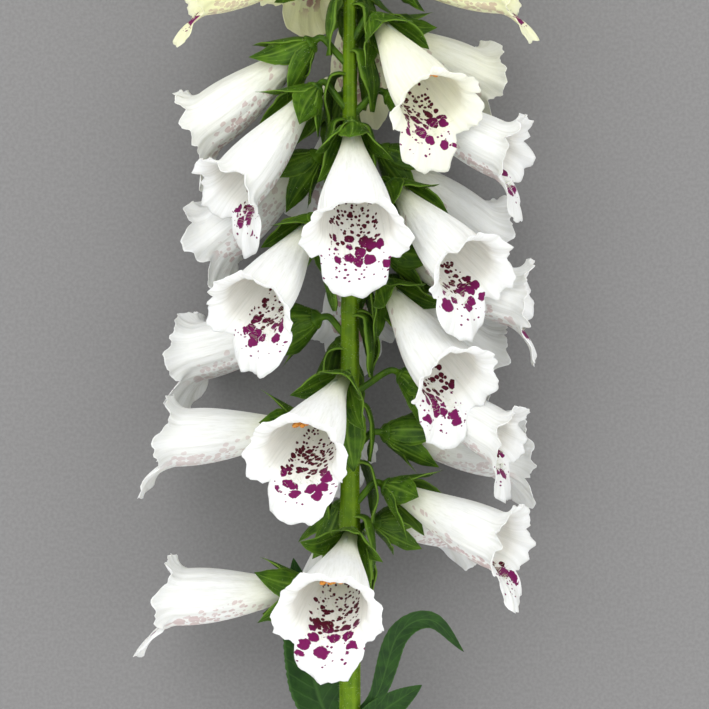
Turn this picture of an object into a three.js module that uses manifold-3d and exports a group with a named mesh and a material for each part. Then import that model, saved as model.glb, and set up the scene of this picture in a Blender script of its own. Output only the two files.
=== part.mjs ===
// A white foxglove's flower spike, cut and laid down on its back on a table. Millimetres. +Y runs up the
// stem to the tip, +Z is up from the table and +X is to the right, looking down. The stem, its pedicels,
// sepals, bracts and leaves are one green solid. Each bell and each pale bud is its own.
import * as THREE from 'three';
import Module from 'manifold-3d';

const wasm = await Module();
wasm.setup();

// The stem: its axis lies over the table at `lift`, and sinks a little to both ends.
const STEM = { length: 430, butt: 3.5, tip: 0.9, taper: 1.5, lift: 42, sides: 8, ridge: 0.07, steps: 13 };
const SINK = { lower: { upTo: 90, by: 7 }, upper: { from: 330, by: 13 } };
// The origin: under the middle of the whole spike, on the table.
const ORIGIN = { x: -5, along: 215 };
// An open bell, at size 1: the tube's length to the mouth, half sizes at the base and at the mouth, and
// its wall.
const TUBE = { length: 44.2, shorterAbove: 0.12, wall: 0.8 };
const BASE = { wide: 2.6, low: 2.5, high: 2.4 };
const MOUTH = { wide: 12.6, low: 9.8, high: 9 };
const SWELL = { wide: 1.6, low: 1.5, high: 1.35, belly: 0.8 };
// The mouth's five lobes, round it from the lower lip at 0 degrees: middle, half width, length and
// roundness.
const LOBES = [
  { middle: 0, half: 46, long: 17, power: 2 },
  { middle: 79, half: 33, long: 9, power: 2 },
  { middle: 146, half: 34, long: 8, power: 2 },
  { middle: 214, half: 34, long: 8, power: 2 },
  { middle: 281, half: 33, long: 9, power: 2 },
];
const NOTCH = 4.8;
// The steps over which the surface's slope is taken, along the corolla and round it in degrees.
const SLOPE = { along: 0.02, round: 1 };
// The rings of the tube below the mouth: three outside and one inside.
const TUBE_RINGS = { outer: [0, 0.25, 0.6], inner: 0.42 };
// How far the lobes bend outward from the tube, in radians, at the lower lip and at the top.
const FLARE = { start: 0.15, lip: 1.15, top: 1.45 };

// Each open bell, from the lowest up: the corolla base's height along the stem, its turn round the stem
// from the top of the lying spike (degrees, to the right), the way it faces where that differs, its droop
// below square to the stem, its size, and its base's distance from the stem's axis.
const BELLS = [
  { at: 95, turn: -92, droop: 3, size: 1.02, reach: 14 },
  { at: 113, turn: 0, face: -10, droop: 30, size: 1, reach: 11 },
  { at: 117, turn: 130, droop: 4, size: 0.72, reach: 12 },
  { at: 122, turn: -165, droop: 59.5, size: 0.9, reach: 11 },
  { at: 129, turn: 85, face: 70, droop: 24, size: 1, reach: 13 },
  { at: 147, turn: 105, face: 114, droop: 8, size: 0.97, reach: 13 },
  { at: 149, turn: -92, droop: 4, size: 1.02, reach: 14 },
  { at: 165, turn: -12, face: -22, droop: 32, size: 1, reach: 11 },
  { at: 166, turn: 90, face: 73, droop: 31, size: 0.9, reach: 18 },
  { at: 177, turn: -168, droop: 60, size: 0.88, reach: 11, spread: -0.2 },
  { at: 185, turn: -113, droop: 14, size: 1, reach: 13 },
  { at: 196, turn: 78, face: 43, droop: 44, size: 1, reach: 12 },
  { at: 197, turn: 120, droop: 30, size: 0.93, reach: 13 },
  { at: 206.5, turn: 97, face: 86, droop: 19, size: 1, reach: 14.5, spread: -0.4 },
  { at: 215, turn: 178, droop: 56, size: 0.83, reach: 11, spread: -0.2 },
  { at: 217.5, turn: -65, face: -38, droop: 42, size: 0.97, reach: 13 },
  { at: 229, turn: 76, face: 44, droop: 39, size: 1, reach: 15 },
  { at: 239, turn: -116, droop: 35, size: 1, reach: 13 },
  { at: 241, turn: 118, droop: 36, size: 1, reach: 13 },
  { at: 248, turn: 3, droop: 50, size: 1, reach: 10 },
  { at: 259, turn: -168, droop: 58, size: 0.88, reach: 11, spread: -0.2 },
  { at: 261, turn: -84, face: -64, droop: 48, size: 1, reach: 12 },
  { at: 259.5, turn: 96, face: 76, droop: 26, size: 1, reach: 14, spread: 0.2 },
  { at: 276.5, turn: -100, droop: 36, size: 1, reach: 14 },
  { at: 284, turn: 62, face: 35, droop: 42, size: 0.98, reach: 10 },
  { at: 283, turn: 118, droop: 23, size: 0.88, reach: 12 },
  { at: 298, turn: 172, droop: 58, size: 0.85, reach: 11 },
  { at: 299, turn: 80, droop: 6, size: 0.9, reach: 12 },
  { at: 301, turn: -80, droop: 10, size: 0.88, reach: 11 },
  { at: 327, turn: -145, droop: 55, size: 0.82, reach: 10 },
  { at: 333, turn: 20, droop: 45, size: 0.78, reach: 9 },
  { at: 339, turn: 115, droop: 30, size: 0.74, reach: 9 },
  { at: 346, turn: -60, droop: 35, size: 0.68, reach: 8 },
];

// Bells above this height are young and cream.
const CREAM_FROM = 298.5;

// The buds above them, worked out as a spiral: the pale ones first, then the green ones of the tip.
const BUDS = {
  pale: 8, green: 7, from: 354, to: 425, turn: 137.5, start: 60,
  long: 22, shortest: 4.5, round: 0.2, sides: 6,
  droop: { first: 25, last: -55 }, reach: { first: 9, last: 2.2 }, calyx: 0.8, spread: 0.8,
};
// A bud's form: how far along it each ring is, how round it is there, and how flat it is.
const BUD_FORM = { rings: [[0.35, 0.95], [0.75, 0.85]], base: { along: 0.9, round: 0.45 }, flat: 0.85 };

// Sepals round a corolla: their angles from the lower side, length, half width and thickness. Each goes
// from the notch beside it over its belly to its tip, by so far along the axis and so far from it; `opens`
// is what the spread adds. The inner face runs a little higher at the belly and nearer to the outer one at
// the tip.
const SEPALS = {
  angles: [36, 108, 180, 252, 324], long: 17, half: 4.4, thick: 0.8, spread: 1,
  notch: { along: 1.4, out: 0.6 },
  belly: { share: 0.42, away: 5.4, opens: 0.9 },
  tip: { away: 9.6, opens: 2.2 },
  inner: { rise: 0.4, tip: 0.5 },
};
// The cup that holds a corolla's base: its radius, its back below the base, its wall and the gap to the
// corolla.
const CUP = { radius: 3.5, back: 1.2, wall: 0.5, gap: 0.35 };
// A pedicel starts below its flower on the stem, goes out and up, and comes back to the cup along the
// flower's axis.
const PEDICEL = { radius: 1.2, sides: 4, steps: 2, rise: 7, out: 0.55, up: 0.9, neck: 7, end: 3.2 };
// A bract starts below its pedicel, goes out and then hangs down beside the stem.
const BRACT = {
  long: 21, half: 4.3, thick: 1.1, out: 6.5, below: 2.5, lean: 0.6,
  root: { out: 1, half: 0.5 }, knee: { down: 1 }, hang: { out: 2.2, share: 0.55, half: 0.8 }, tip: 0.5,
};
// A calyx, its pedicel and its bract grow less than the flower's size does.
const CALYX_SCALE = { least: 0.4, grows: 0.6 };

// Leaves of the lower stem: the path of the midrib from the stem's axis, x to the right, y along the stem
// from the leaf's own joint and z up from the table, with its greatest half width and where that is.
const LEAVES = [
  {
    name: 'left', at: 47, half: 9, widest: 0.35,
    path: [[0, 0, 38], [-9, 8, 33], [-14, 28, 30], [-19, 58, 34]],
  },
  {
    name: 'right', at: 52, half: 4.2, widest: 0.45,
    path: [[0, 0, 39], [9, 8, 43], [16, 28, 46], [27, 33, 46], [38, 22, 41]],
  },
  {
    name: 'short', at: 44, half: 5, widest: 0.4,
    path: [[0, 0, 39], [9, 9, 42], [24, 19, 41]],
  },
];
// Two leaves whose outer ends lie on the table: x, y and z as above, the last two points on the table.
const RESTING = [
  {
    name: 'rest_right', at: 20, half: 11, widest: 0.55,
    path: [[0, 0, 36], [14, 2, 27], [28, -2, 8], [44, -8, 0], [62, -14, 0]],
  },
  {
    name: 'rest_left', at: 30, half: 10, widest: 0.55,
    path: [[0, 0, 37], [-14, -2, 29], [-27, -9, 9], [-40, -18, 0], [-56, -28, 0]],
  },
];
const LEAF = { stations: 8, thick: 1.2, wave: 0.09, fold: 0.3, settles: 0.6, fullness: 0.8 };

function finish(name, color, roughness) {
  return new THREE.MeshStandardMaterial({ name, color, roughness, metalness: 0 });
}

const GREEN = finish('leaf_green', 0x4f7a2a, 0.7);
const WHITE = finish('petal_white', 0xf4f2ea, 0.55);
const CREAM = finish('petal_cream', 0xf0edc4, 0.55);

const radians = THREE.MathUtils.degToRad;
const UP_THE_STEM = new THREE.Vector3(0, 1, 0);
const TABLE_UP = new THREE.Vector3(0, 0, 1);

// A closed mesh from rings of points, each a closed loop or a single point, joined one to the next. From
// the ring `inside` on, the squares are split the other way, so that an inner face follows the outer one.
function loft(rings, inside = Infinity) {
  const vertices = [];
  const faces = [];
  const ids = rings.map((ring) => ring.map((point) => vertices.push(point) - 1));
  for (let k = 0; k + 1 < ids.length; k += 1) stitch(ids[k], ids[k + 1], faces, k >= inside);
  if (signedVolume(vertices, faces) < 0) faces.forEach((face) => face.reverse());
  return { vertices, faces };
}

// Triangles between two loops that start at the same place round and run the same way.
function stitch(near, far, faces, farFirst) {
  const nearSteps = near.length > 1 ? near.length : 0;
  const farSteps = far.length > 1 ? far.length : 0;
  let i = 0;
  let j = 0;
  while (i < nearSteps || j < farSteps) {
    const a = near[i % near.length];
    const b = far[j % far.length];
    const nearNext = i < nearSteps ? (i + 0.5) / nearSteps : Infinity;
    const farNext = j < farSteps ? (j + 0.5) / farSteps : Infinity;
    if (nearNext < farNext || (nearNext === farNext && !farFirst)) {
      faces.push([a, near[(i + 1) % near.length], b]);
      i += 1;
    } else {
      faces.push([a, far[(j + 1) % far.length], b]);
      j += 1;
    }
  }
}

function signedVolume(vertices, faces) {
  const cross = new THREE.Vector3();
  return faces.reduce((sum, [a, b, c]) => {
    cross.crossVectors(vertices[b], vertices[c]);
    return sum + cross.dot(vertices[a]);
  }, 0);
}

function middleOf(ring) {
  return ring.reduce((sum, point) => sum.add(point), new THREE.Vector3()).divideScalar(ring.length);
}

// The same rings with both ends closed to their middles.
function capped(rings, inside = Infinity) {
  return loft([[middleOf(rings[0])], ...rings, [middleOf(rings.at(-1))]], inside + 1);
}

function toSolid({ vertices, faces }) {
  const vertProperties = Float32Array.from(vertices.flatMap((point) => point.toArray()));
  const triVerts = Uint32Array.from(faces.flat());
  return new wasm.Manifold(new wasm.Mesh({ numProp: 3, vertProperties, triVerts }));
}

function toGeometry({ vertices, faces }) {
  const geometry = new THREE.BufferGeometry();
  const places = vertices.flatMap((point) => point.toArray());
  geometry.setAttribute('position', new THREE.Float32BufferAttribute(places, 3));
  geometry.setIndex(faces.flat());
  return geometry;
}

function solidToGeometry(solid) {
  const mesh = solid.getMesh();
  const geometry = new THREE.BufferGeometry();
  geometry.setAttribute('position', new THREE.Float32BufferAttribute(mesh.vertProperties, mesh.numProp));
  geometry.setIndex(Array.from(mesh.triVerts));
  return geometry;
}

// The stem's axis at a height along the stem, and its radius there.
function stemPoint(along) {
  const below = Math.max(0, (SINK.lower.upTo - along) / SINK.lower.upTo);
  const above = Math.max(0, (along - SINK.upper.from) / (STEM.length - SINK.upper.from));
  const height = STEM.lift - SINK.lower.by * below ** 2 - SINK.upper.by * above ** 2;
  return new THREE.Vector3(-ORIGIN.x, along - ORIGIN.along, height);
}

function stemRadius(along) {
  return STEM.butt + (STEM.tip - STEM.butt) * (along / STEM.length) ** STEM.taper;
}

function makeStem() {
  const rings = [];
  for (let k = 0; k <= STEM.steps; k += 1) {
    const along = (STEM.length * k) / STEM.steps;
    const middle = stemPoint(along);
    const ring = [];
    for (let j = 0; j < STEM.sides; j += 1) {
      const angle = (2 * Math.PI * j) / STEM.sides;
      const radius = stemRadius(along) * (1 + (j % 2 ? -STEM.ridge : STEM.ridge));
      ring.push(new THREE.Vector3(Math.cos(angle) * radius, 0, Math.sin(angle) * radius).add(middle));
    }
    rings.push(ring);
  }
  return capped(rings);
}

// The frame of a flower: the outward direction round the stem, the axis it points along, its lower side
// and its right side, with the point where its corolla starts.
function flowerFrame({ at, turn, face = turn, droop, reach }) {
  const outward = new THREE.Vector3(Math.sin(radians(turn)), 0, Math.cos(radians(turn)));
  const heading = new THREE.Vector3(Math.sin(radians(face)), 0, Math.cos(radians(face)));
  const axis = heading.clone().multiplyScalar(Math.cos(radians(droop)));
  axis.addScaledVector(UP_THE_STEM, -Math.sin(radians(droop)));
  const lower = heading.multiplyScalar(-Math.sin(radians(droop)));
  lower.addScaledVector(UP_THE_STEM, -Math.cos(radians(droop)));
  const side = new THREE.Vector3().crossVectors(axis, lower);
  const base = stemPoint(at).addScaledVector(outward, reach);
  return { outward, axis, lower, side, base };
}

// A place in a flower's frame: so far along its axis, to its lower side and to its right side.
function place(frame, along, low, right) {
  return frame.base.clone().addScaledVector(frame.axis, along).addScaledVector(frame.lower, low)
    .addScaledVector(frame.side, right);
}

function lobeLength(degrees) {
  const turned = ((degrees % 360) + 360) % 360;
  for (const lobe of LOBES) {
    const away = Math.abs(((turned - lobe.middle + 540) % 360) - 180) / lobe.half;
    if (away <= 1.0001) return NOTCH + (lobe.long - NOTCH) * (1 - Math.min(1, away) ** lobe.power);
  }
  return NOTCH;
}

// A point of the corolla's outside. `u` runs from 0 at the base to 1 at the mouth and 2 at the lobes'
// edges.
function corollaPoint(frame, size, u, degrees) {
  const angle = radians(degrees);
  const tube = Math.min(u, 1);
  const rise = Math.sin((Math.PI / 2) * tube);
  const wide = BASE.wide + (MOUTH.wide - BASE.wide) * rise ** SWELL.wide;
  const low = BASE.low + (MOUTH.low - BASE.low) * rise ** SWELL.low + SWELL.belly * Math.sin(Math.PI * tube);
  const high = BASE.high + (MOUTH.high - BASE.high) * rise ** SWELL.high;
  const above = (1 - Math.cos(angle)) / 2;
  let along = TUBE.length * tube * (1 - TUBE.shorterAbove * above * tube);
  let outLow = Math.cos(angle) * (Math.cos(angle) > 0 ? low : high);
  let outRight = Math.sin(angle) * wide;
  if (u > 1) {
    const bend = FLARE.lip + (FLARE.top - FLARE.lip) * above - FLARE.start;
    const turned = FLARE.start + bend * (u - 1);
    const long = lobeLength(degrees);
    along += (long * (Math.sin(turned) - Math.sin(FLARE.start))) / bend;
    outLow += (Math.cos(angle) * long * (Math.cos(FLARE.start) - Math.cos(turned))) / bend;
    outRight += (Math.sin(angle) * long * (Math.cos(FLARE.start) - Math.cos(turned))) / bend;
  }
  return place(frame, along * size, outLow * size, outRight * size);
}

// The same point moved in by the wall's thickness, square to the surface.
function corollaInside(frame, size, u, degrees) {
  const { along, round } = SLOPE;
  const before = corollaPoint(frame, size, u - along, degrees);
  const after = corollaPoint(frame, size, Math.min(u + along, 2), degrees);
  const left = corollaPoint(frame, size, u, degrees - round);
  const right = corollaPoint(frame, size, u, degrees + round);
  const outward = new THREE.Vector3().crossVectors(right.sub(left), after.sub(before)).normalize();
  return corollaPoint(frame, size, u, degrees).addScaledVector(outward, -TUBE.wall);
}

// The angles of a ring: `perLobe` places in each lobe, from the notch before it.
function lobeAngles(perLobe) {
  return LOBES.flatMap(({ middle, half }) =>
    Array.from({ length: perLobe }, (_, k) => middle - half + (2 * half * k) / perLobe));
}

const COARSE = lobeAngles(2);
const FINE = lobeAngles(4);

function makeBell(row) {
  const frame = flowerFrame(row);
  const outer = (u, angles) => angles.map((degrees) => corollaPoint(frame, row.size, u, degrees));
  const inner = (u, angles) => angles.map((degrees) => corollaInside(frame, row.size, u, degrees));
  const outside = [...TUBE_RINGS.outer.map((u) => outer(u, COARSE)), outer(1, FINE), outer(2, FINE)];
  const inside = [inner(2, FINE), inner(1, FINE), inner(TUBE_RINGS.inner, COARSE)];
  return capped([...outside, ...inside], outside.length);
}

// The scale of a flower's calyx, pedicel and bract.
function calyxScale(size) {
  return CALYX_SCALE.least + CALYX_SCALE.grows * size;
}

// A pedicel that leaves the stem below its flower and arches over, its cup and its five sepals, in one
// piece.
function makeCalyx(row, scale) {
  const rings = [...pedicelRings(row, scale), ...sepalRings(row, scale)];
  return capped(rings, rings.length - 2);
}

function pedicelRings(row, scale) {
  const frame = flowerFrame(row);
  const root = stemPoint(row.at - PEDICEL.rise * scale);
  const shoulder = root.clone().addScaledVector(frame.outward, row.reach * PEDICEL.out);
  shoulder.addScaledVector(UP_THE_STEM, PEDICEL.rise * scale * PEDICEL.up);
  const neck = place(frame, -PEDICEL.neck * scale, 0, 0);
  const end = place(frame, -PEDICEL.end * scale, 0, 0);
  const curve = new THREE.CubicBezierCurve3(root, shoulder, neck, end);
  const radius = PEDICEL.radius * calyxScale(scale);
  return Array.from({ length: PEDICEL.steps + 1 }, (_, k) => {
    const middle = curve.getPoint(k / PEDICEL.steps);
    const tangent = curve.getTangent(k / PEDICEL.steps);
    const normal = new THREE.Vector3().crossVectors(frame.side, tangent).normalize();
    return roundRing(PEDICEL.sides, (low, right) =>
      middle.clone().addScaledVector(normal, low * radius).addScaledVector(frame.side, right * radius));
  });
}

// The cup's back, the sepals outside and inside, and the cup's floor.
function sepalRings(row, scale) {
  const frame = flowerFrame(row);
  const { long, half, thick, notch, belly, tip, inner } = SEPALS;
  const out = row.spread ?? SEPALS.spread;
  const at = (angle, along, away, across) => place(frame, along * scale,
    (Math.cos(angle) * away - Math.sin(angle) * across) * scale,
    (Math.sin(angle) * away + Math.cos(angle) * across) * scale);
  const gap = Math.PI / SEPALS.angles.length;
  const star = (inward) => SEPALS.angles.flatMap((degrees) => {
    const angle = radians(degrees);
    const bellyAlong = long * belly.share + inward * inner.rise;
    const bellyAway = belly.away + belly.opens * out - inward;
    return [
      at(angle - gap, notch.along, CUP.radius + notch.out - inward, 0),
      at(angle, bellyAlong, bellyAway, -half),
      at(angle, long, tip.away + tip.opens * out - inward * inner.tip, 0),
      at(angle, bellyAlong, bellyAway, half),
    ];
  });
  const cupRing = (along, away) => SEPALS.angles.flatMap((degrees) =>
    [at(radians(degrees) - gap, along, away, 0), at(radians(degrees), along, away, 0)]);
  return [cupRing(-CUP.back, CUP.radius), star(0), star(thick), cupRing(-CUP.gap, CUP.radius - CUP.wall)];
}

// A ring of places round a middle, from the lower side round to the right.
function roundRing(sides, put) {
  return Array.from({ length: sides }, (_, j) => {
    const angle = (2 * Math.PI * (j + 0.5)) / sides - Math.PI / SEPALS.angles.length;
    return put(Math.cos(angle), Math.sin(angle));
  });
}

// A pointed blade, flat inside and keeled outside. Each row has its middle, its side, its way out and half
// width.
function keeled(rows, thick, tip) {
  const rings = rows.map(({ middle, side, out, half }) => [
    middle.clone().addScaledVector(side, -half),
    middle.clone().addScaledVector(out, thick),
    middle.clone().addScaledVector(side, half),
  ]);
  return loft([[middleOf(rings[0])], ...rings, [tip]]);
}

// The narrow leaf under a pedicel: out from the stem, then down along it.
function makeBract(row, scale) {
  const { outward } = flowerFrame(row);
  const side = new THREE.Vector3().crossVectors(UP_THE_STEM, outward);
  const start = row.at - (PEDICEL.rise + BRACT.below) * scale;
  const at = (out, down) => stemPoint(start - down * scale).addScaledVector(outward, out);
  const { half, root, knee, hang, long, tip } = BRACT;
  const lean = outward.clone().addScaledVector(UP_THE_STEM, BRACT.lean).normalize();
  return keeled([
    { middle: at(root.out, 0), side, out: UP_THE_STEM, half: half * scale * root.half },
    { middle: at(BRACT.out * scale, knee.down), side, out: lean, half: half * scale },
    {
      middle: at((BRACT.out + hang.out) * scale, long * hang.share),
      side,
      out: outward,
      half: half * scale * hang.half,
    },
  ], BRACT.thick, at((BRACT.out + tip) * scale, long));
}

// A leaf blade along a midrib, with a waved edge and a fold along the middle. Both faces are split alike.
function makeLeaf({ at, half, widest, path }, resting) {
  const joint = stemPoint(at);
  const curve = new THREE.CatmullRomCurve3(path.map(([x, y, z]) =>
    new THREE.Vector3(joint.x + x, joint.y + y, z)));
  const count = LEAF.stations;
  const points = Array.from({ length: count + 1 }, (_, k) => curve.getPoint(k / count));
  if (resting) points.forEach((point) => point.setZ(point.z < LEAF.settles ? 0 : point.z));
  const rows = points.slice(1, count).map((point, index) => {
    const k = index + 1;
    const tangent = points[k + 1].clone().sub(points[k - 1]).normalize();
    const side = new THREE.Vector3().crossVectors(tangent, TABLE_UP).normalize();
    const normal = new THREE.Vector3().crossVectors(side, tangent);
    const onTable = resting && point.z === 0;
    if (onTable) normal.copy(TABLE_UP);
    const share = k / count;
    const form = share < widest ? Math.sin((Math.PI / 2) * (share / widest))
      : Math.cos((Math.PI / 2) * ((share - widest) / (1 - widest)));
    const reach = half * form ** LEAF.fullness * (1 + (k % 2 ? LEAF.wave : -LEAF.wave));
    const fold = onTable ? 0 : LEAF.fold * reach;
    return {
      left: point.clone().addScaledVector(side, -reach).addScaledVector(normal, fold),
      top: point.clone().addScaledVector(normal, LEAF.thick),
      right: point.clone().addScaledVector(side, reach).addScaledVector(normal, fold),
      under: point.clone(),
    };
  });
  return blade(points[0], rows, points[count]);
}

function blade(root, rows, tip) {
  const vertices = [root, tip, ...rows.flatMap(({ left, top, right, under }) => [left, top, right, under])];
  const id = (k, column) => 2 + k * 4 + column;
  const faces = [];
  const columns = [[0, 1], [1, 2], [2, 3], [3, 0]];
  columns.forEach(([a, b]) => {
    faces.push([0, id(0, b), id(0, a)]);
    faces.push([1, id(rows.length - 1, a), id(rows.length - 1, b)]);
  });
  for (let k = 0; k + 1 < rows.length; k += 1) {
    columns.forEach(([a, b], index) => {
      const corners = [id(k, a), id(k, b), id(k + 1, b), id(k + 1, a)];
      const [p, q, r, s] = corners;
      // The faces above and below share the diagonal that runs outward, so that they stay apart where they
      // are waved.
      if (index === 0 || index === 2) faces.push([p, q, r], [p, r, s]);
      else faces.push([p, q, s], [q, r, s]);
    });
  }
  if (signedVolume(vertices, faces) < 0) faces.forEach((face) => face.reverse());
  return { vertices, faces };
}

// A closed bud, a little flattened. A green one at the tip sits on the stem itself.
function makeBud(row, green) {
  const frame = flowerFrame(row);
  const ring = (along, round) => Array.from({ length: BUDS.sides }, (_, j) => {
    const angle = (2 * Math.PI * j) / BUDS.sides;
    const radius = row.long * BUDS.round * round;
    return place(frame, along, Math.cos(angle) * radius * BUD_FORM.flat, Math.sin(angle) * radius);
  });
  const start = green ? -row.reach : 0;
  const { rings, base } = BUD_FORM;
  return loft([
    [place(frame, start, 0, 0)],
    ring(start * base.along, base.round),
    ...rings.map(([share, round]) => ring(row.long * share, round)),
    [place(frame, row.long, 0, 0)],
  ]);
}

function budRows() {
  const count = BUDS.pale + BUDS.green;
  return Array.from({ length: count }, (_, k) => {
    const share = k / (count - 1);
    return {
      at: BUDS.from + (BUDS.to - BUDS.from) * share,
      turn: BUDS.start + BUDS.turn * k,
      droop: BUDS.droop.first + (BUDS.droop.last - BUDS.droop.first) * share,
      reach: BUDS.reach.first + (BUDS.reach.last - BUDS.reach.first) * share,
      long: BUDS.long + (BUDS.shortest - BUDS.long) * share,
    };
  });
}

function makeLeafyStem(buds) {
  const pieces = [makeStem()];
  BELLS.forEach((row) => {
    const scale = calyxScale(row.size);
    pieces.push(makeCalyx(row, scale), makeBract(row, scale));
  });
  buds.forEach((row, index) => {
    const scale = row.long / BUDS.long * BUDS.calyx;
    if (index < BUDS.pale) pieces.push(makeCalyx({ ...row, spread: BUDS.spread }, scale));
    else pieces.push(makeBud(row, true));
  });
  LEAVES.forEach((leaf) => pieces.push(makeLeaf(leaf, false)));
  RESTING.forEach((leaf) => pieces.push(makeLeaf(leaf, true)));
  return pieces.map(toSolid).reduce((whole, piece) => whole.add(piece));
}

const group = new THREE.Group();

function addNode(name, geometry, material) {
  const mesh = new THREE.Mesh(geometry, material);
  mesh.name = name;
  group.add(mesh);
}

const buds = budRows();
addNode('leafy_stem', solidToGeometry(makeLeafyStem(buds)), GREEN);
BELLS.forEach((row, index) => {
  const name = `bell_${String(index + 1).padStart(2, '0')}`;
  addNode(name, toGeometry(makeBell(row)), row.at < CREAM_FROM ? WHITE : CREAM);
});
buds.slice(0, BUDS.pale).forEach((row, index) => {
  addNode(`bud_${index + 1}`, toGeometry(makeBud(row, false)), CREAM);
});

export default group;
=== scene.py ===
"""Dresses a cut foxglove flower spike that lies on a pale surface, seen from straight above.

The spike lies along Y with its tip at +Y. Each flower is set out by the rule and the sizes of its solid in
the frame: a base beside the stem, the way that it faces and its droop. Lengths are in millimetres until a
mesh is made.
"""

import logging
import math
from dataclasses import dataclass, field, replace
from enum import Enum
from typing import Sequence

import bmesh
import bpy
import numpy as np
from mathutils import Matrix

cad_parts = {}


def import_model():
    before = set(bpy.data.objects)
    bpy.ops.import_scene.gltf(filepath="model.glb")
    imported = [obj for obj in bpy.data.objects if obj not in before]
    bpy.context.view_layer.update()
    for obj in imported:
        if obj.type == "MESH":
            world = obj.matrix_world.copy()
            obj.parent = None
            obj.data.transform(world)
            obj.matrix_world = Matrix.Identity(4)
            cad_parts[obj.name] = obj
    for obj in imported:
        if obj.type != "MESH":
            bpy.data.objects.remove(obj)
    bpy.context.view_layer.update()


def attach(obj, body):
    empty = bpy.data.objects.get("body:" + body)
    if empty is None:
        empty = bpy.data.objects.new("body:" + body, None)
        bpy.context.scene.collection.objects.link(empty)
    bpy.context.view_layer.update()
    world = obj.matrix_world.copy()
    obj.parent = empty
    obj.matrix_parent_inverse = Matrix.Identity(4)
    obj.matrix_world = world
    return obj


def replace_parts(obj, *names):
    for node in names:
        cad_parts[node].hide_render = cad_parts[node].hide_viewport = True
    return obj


LOG = logging.getLogger("foxglove")
MM = 0.001
FULL_TURN = 2 * np.pi
TABLE_UP = np.array([0.0, 0.0, 1.0])
UP_THE_STEM = np.array([0.0, 1.0, 0.0])
ASKEW = np.array([0.3, 0.5, 0.81])
"""A direction that no thread has."""
CREAM_FROM = 298.5
# Flowers higher than this take the cream tone.
"""Flowers higher than this belong to the cream slot."""
YOUNG_FROM = 274.0
YOUNG_TO = 304.0
"""Between these two heights the flowers turn from white to cream."""
STEPS_BETWEEN = 24
"""How finely a curve is followed between two of its points."""
LAG = 0.4
"""The share of a part's size that stays the same in a small flower."""
SEED_STEP = 7.31
"""How far apart two flowers lie in the petals' texture."""

Colour = tuple[float, float, float]


class Tone(Enum):
    """The two ages of an open flower, by the name of a material slot, which is passed along but not given to
    any piece.
    """

    OPEN = "petal_white"
    YOUNG = "petal_cream"


class Part(Enum):
    """What a thread in a bell is, as its finish is told."""

    STALK = 0.0
    ANTHER = 1.0


# The plan of the spike


@dataclass(frozen=True)
class StemLine:
    """The run of the stem over the surface, and its thickness."""

    length: float = 430.0
    butt: float = 3.5
    tip: float = 0.9
    taper: float = 1.5
    lift: float = 42.0
    lower_end: float = 90.0
    lower_sink: float = 7.0
    upper_start: float = 330.0
    upper_sink: float = 13.0
    beside_middle: float = 5.0
    middle_along: float = 215.0

    def point(self, along: float) -> np.ndarray:
        """A point of the stem's axis.

        Args:
            along: distance from the cut end.

        Returns:
            Its place in the frame.
        """
        below = max(0.0, (self.lower_end - along) / self.lower_end)
        above = max(0.0, (along - self.upper_start) / (self.length - self.upper_start))
        height = self.lift - self.lower_sink * below**2 - self.upper_sink * above**2
        return np.array([self.beside_middle, along - self.middle_along, height])

    def radius(self, along: float) -> float:
        """The stem's radius at a distance from the cut end."""
        return self.butt + (self.tip - self.butt) * (max(along, 0.0) / self.length) ** self.taper


STEM = StemLine()


def lagging(size: float) -> float:
    """The scale of a part that changes less than the whole."""
    return LAG + (1 - LAG) * size


@dataclass(frozen=True)
class Flower:
    """Where one flower or bud sits and how it hangs, in degrees from straight up and to the right."""

    at: float
    turn: float
    droop: float
    size: float
    reach: float
    face: float | None = None
    spread: float = 1.0
    long: float = 0.0

    @property
    def scale(self) -> float:
        """The scale of its calyx and bract, which change less than the corolla."""
        return lagging(self.size)

    @property
    def youth(self) -> float:
        """How cream it still is: 0 for the old flowers and 1 for the youngest."""
        return min(max((self.at - YOUNG_FROM) / (YOUNG_TO - YOUNG_FROM), 0.0), 1.0)

    @property
    def outward(self) -> np.ndarray:
        """The direction in which its base stands out from the stem."""
        turn = math.radians(self.turn)
        return np.array([math.sin(turn), 0.0, math.cos(turn)])

    def axes(self) -> tuple[np.ndarray, np.ndarray, np.ndarray]:
        """The directions that its own frame is measured in.

        Returns:
            Its axis, its lower side and its right side, as unit vectors.
        """
        face = math.radians(self.turn if self.face is None else self.face)
        droop = math.radians(self.droop)
        heading = np.array([math.sin(face), 0.0, math.cos(face)])
        axis = heading * math.cos(droop) - UP_THE_STEM * math.sin(droop)
        lower = -heading * math.sin(droop) - UP_THE_STEM * math.cos(droop)
        return axis, lower, np.cross(axis, lower)

    def place(self, places: np.ndarray) -> np.ndarray:
        """Turns places in the flower's own frame into places in the object's frame.

        Args:
            places: an array whose last dimension is the distance along the flower's axis, to its lower
                side and to its right side.

        Returns:
            The same array as x, y and z.
        """
        return STEM.point(self.at) + self.outward * self.reach + places @ np.array(self.axes())


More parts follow.
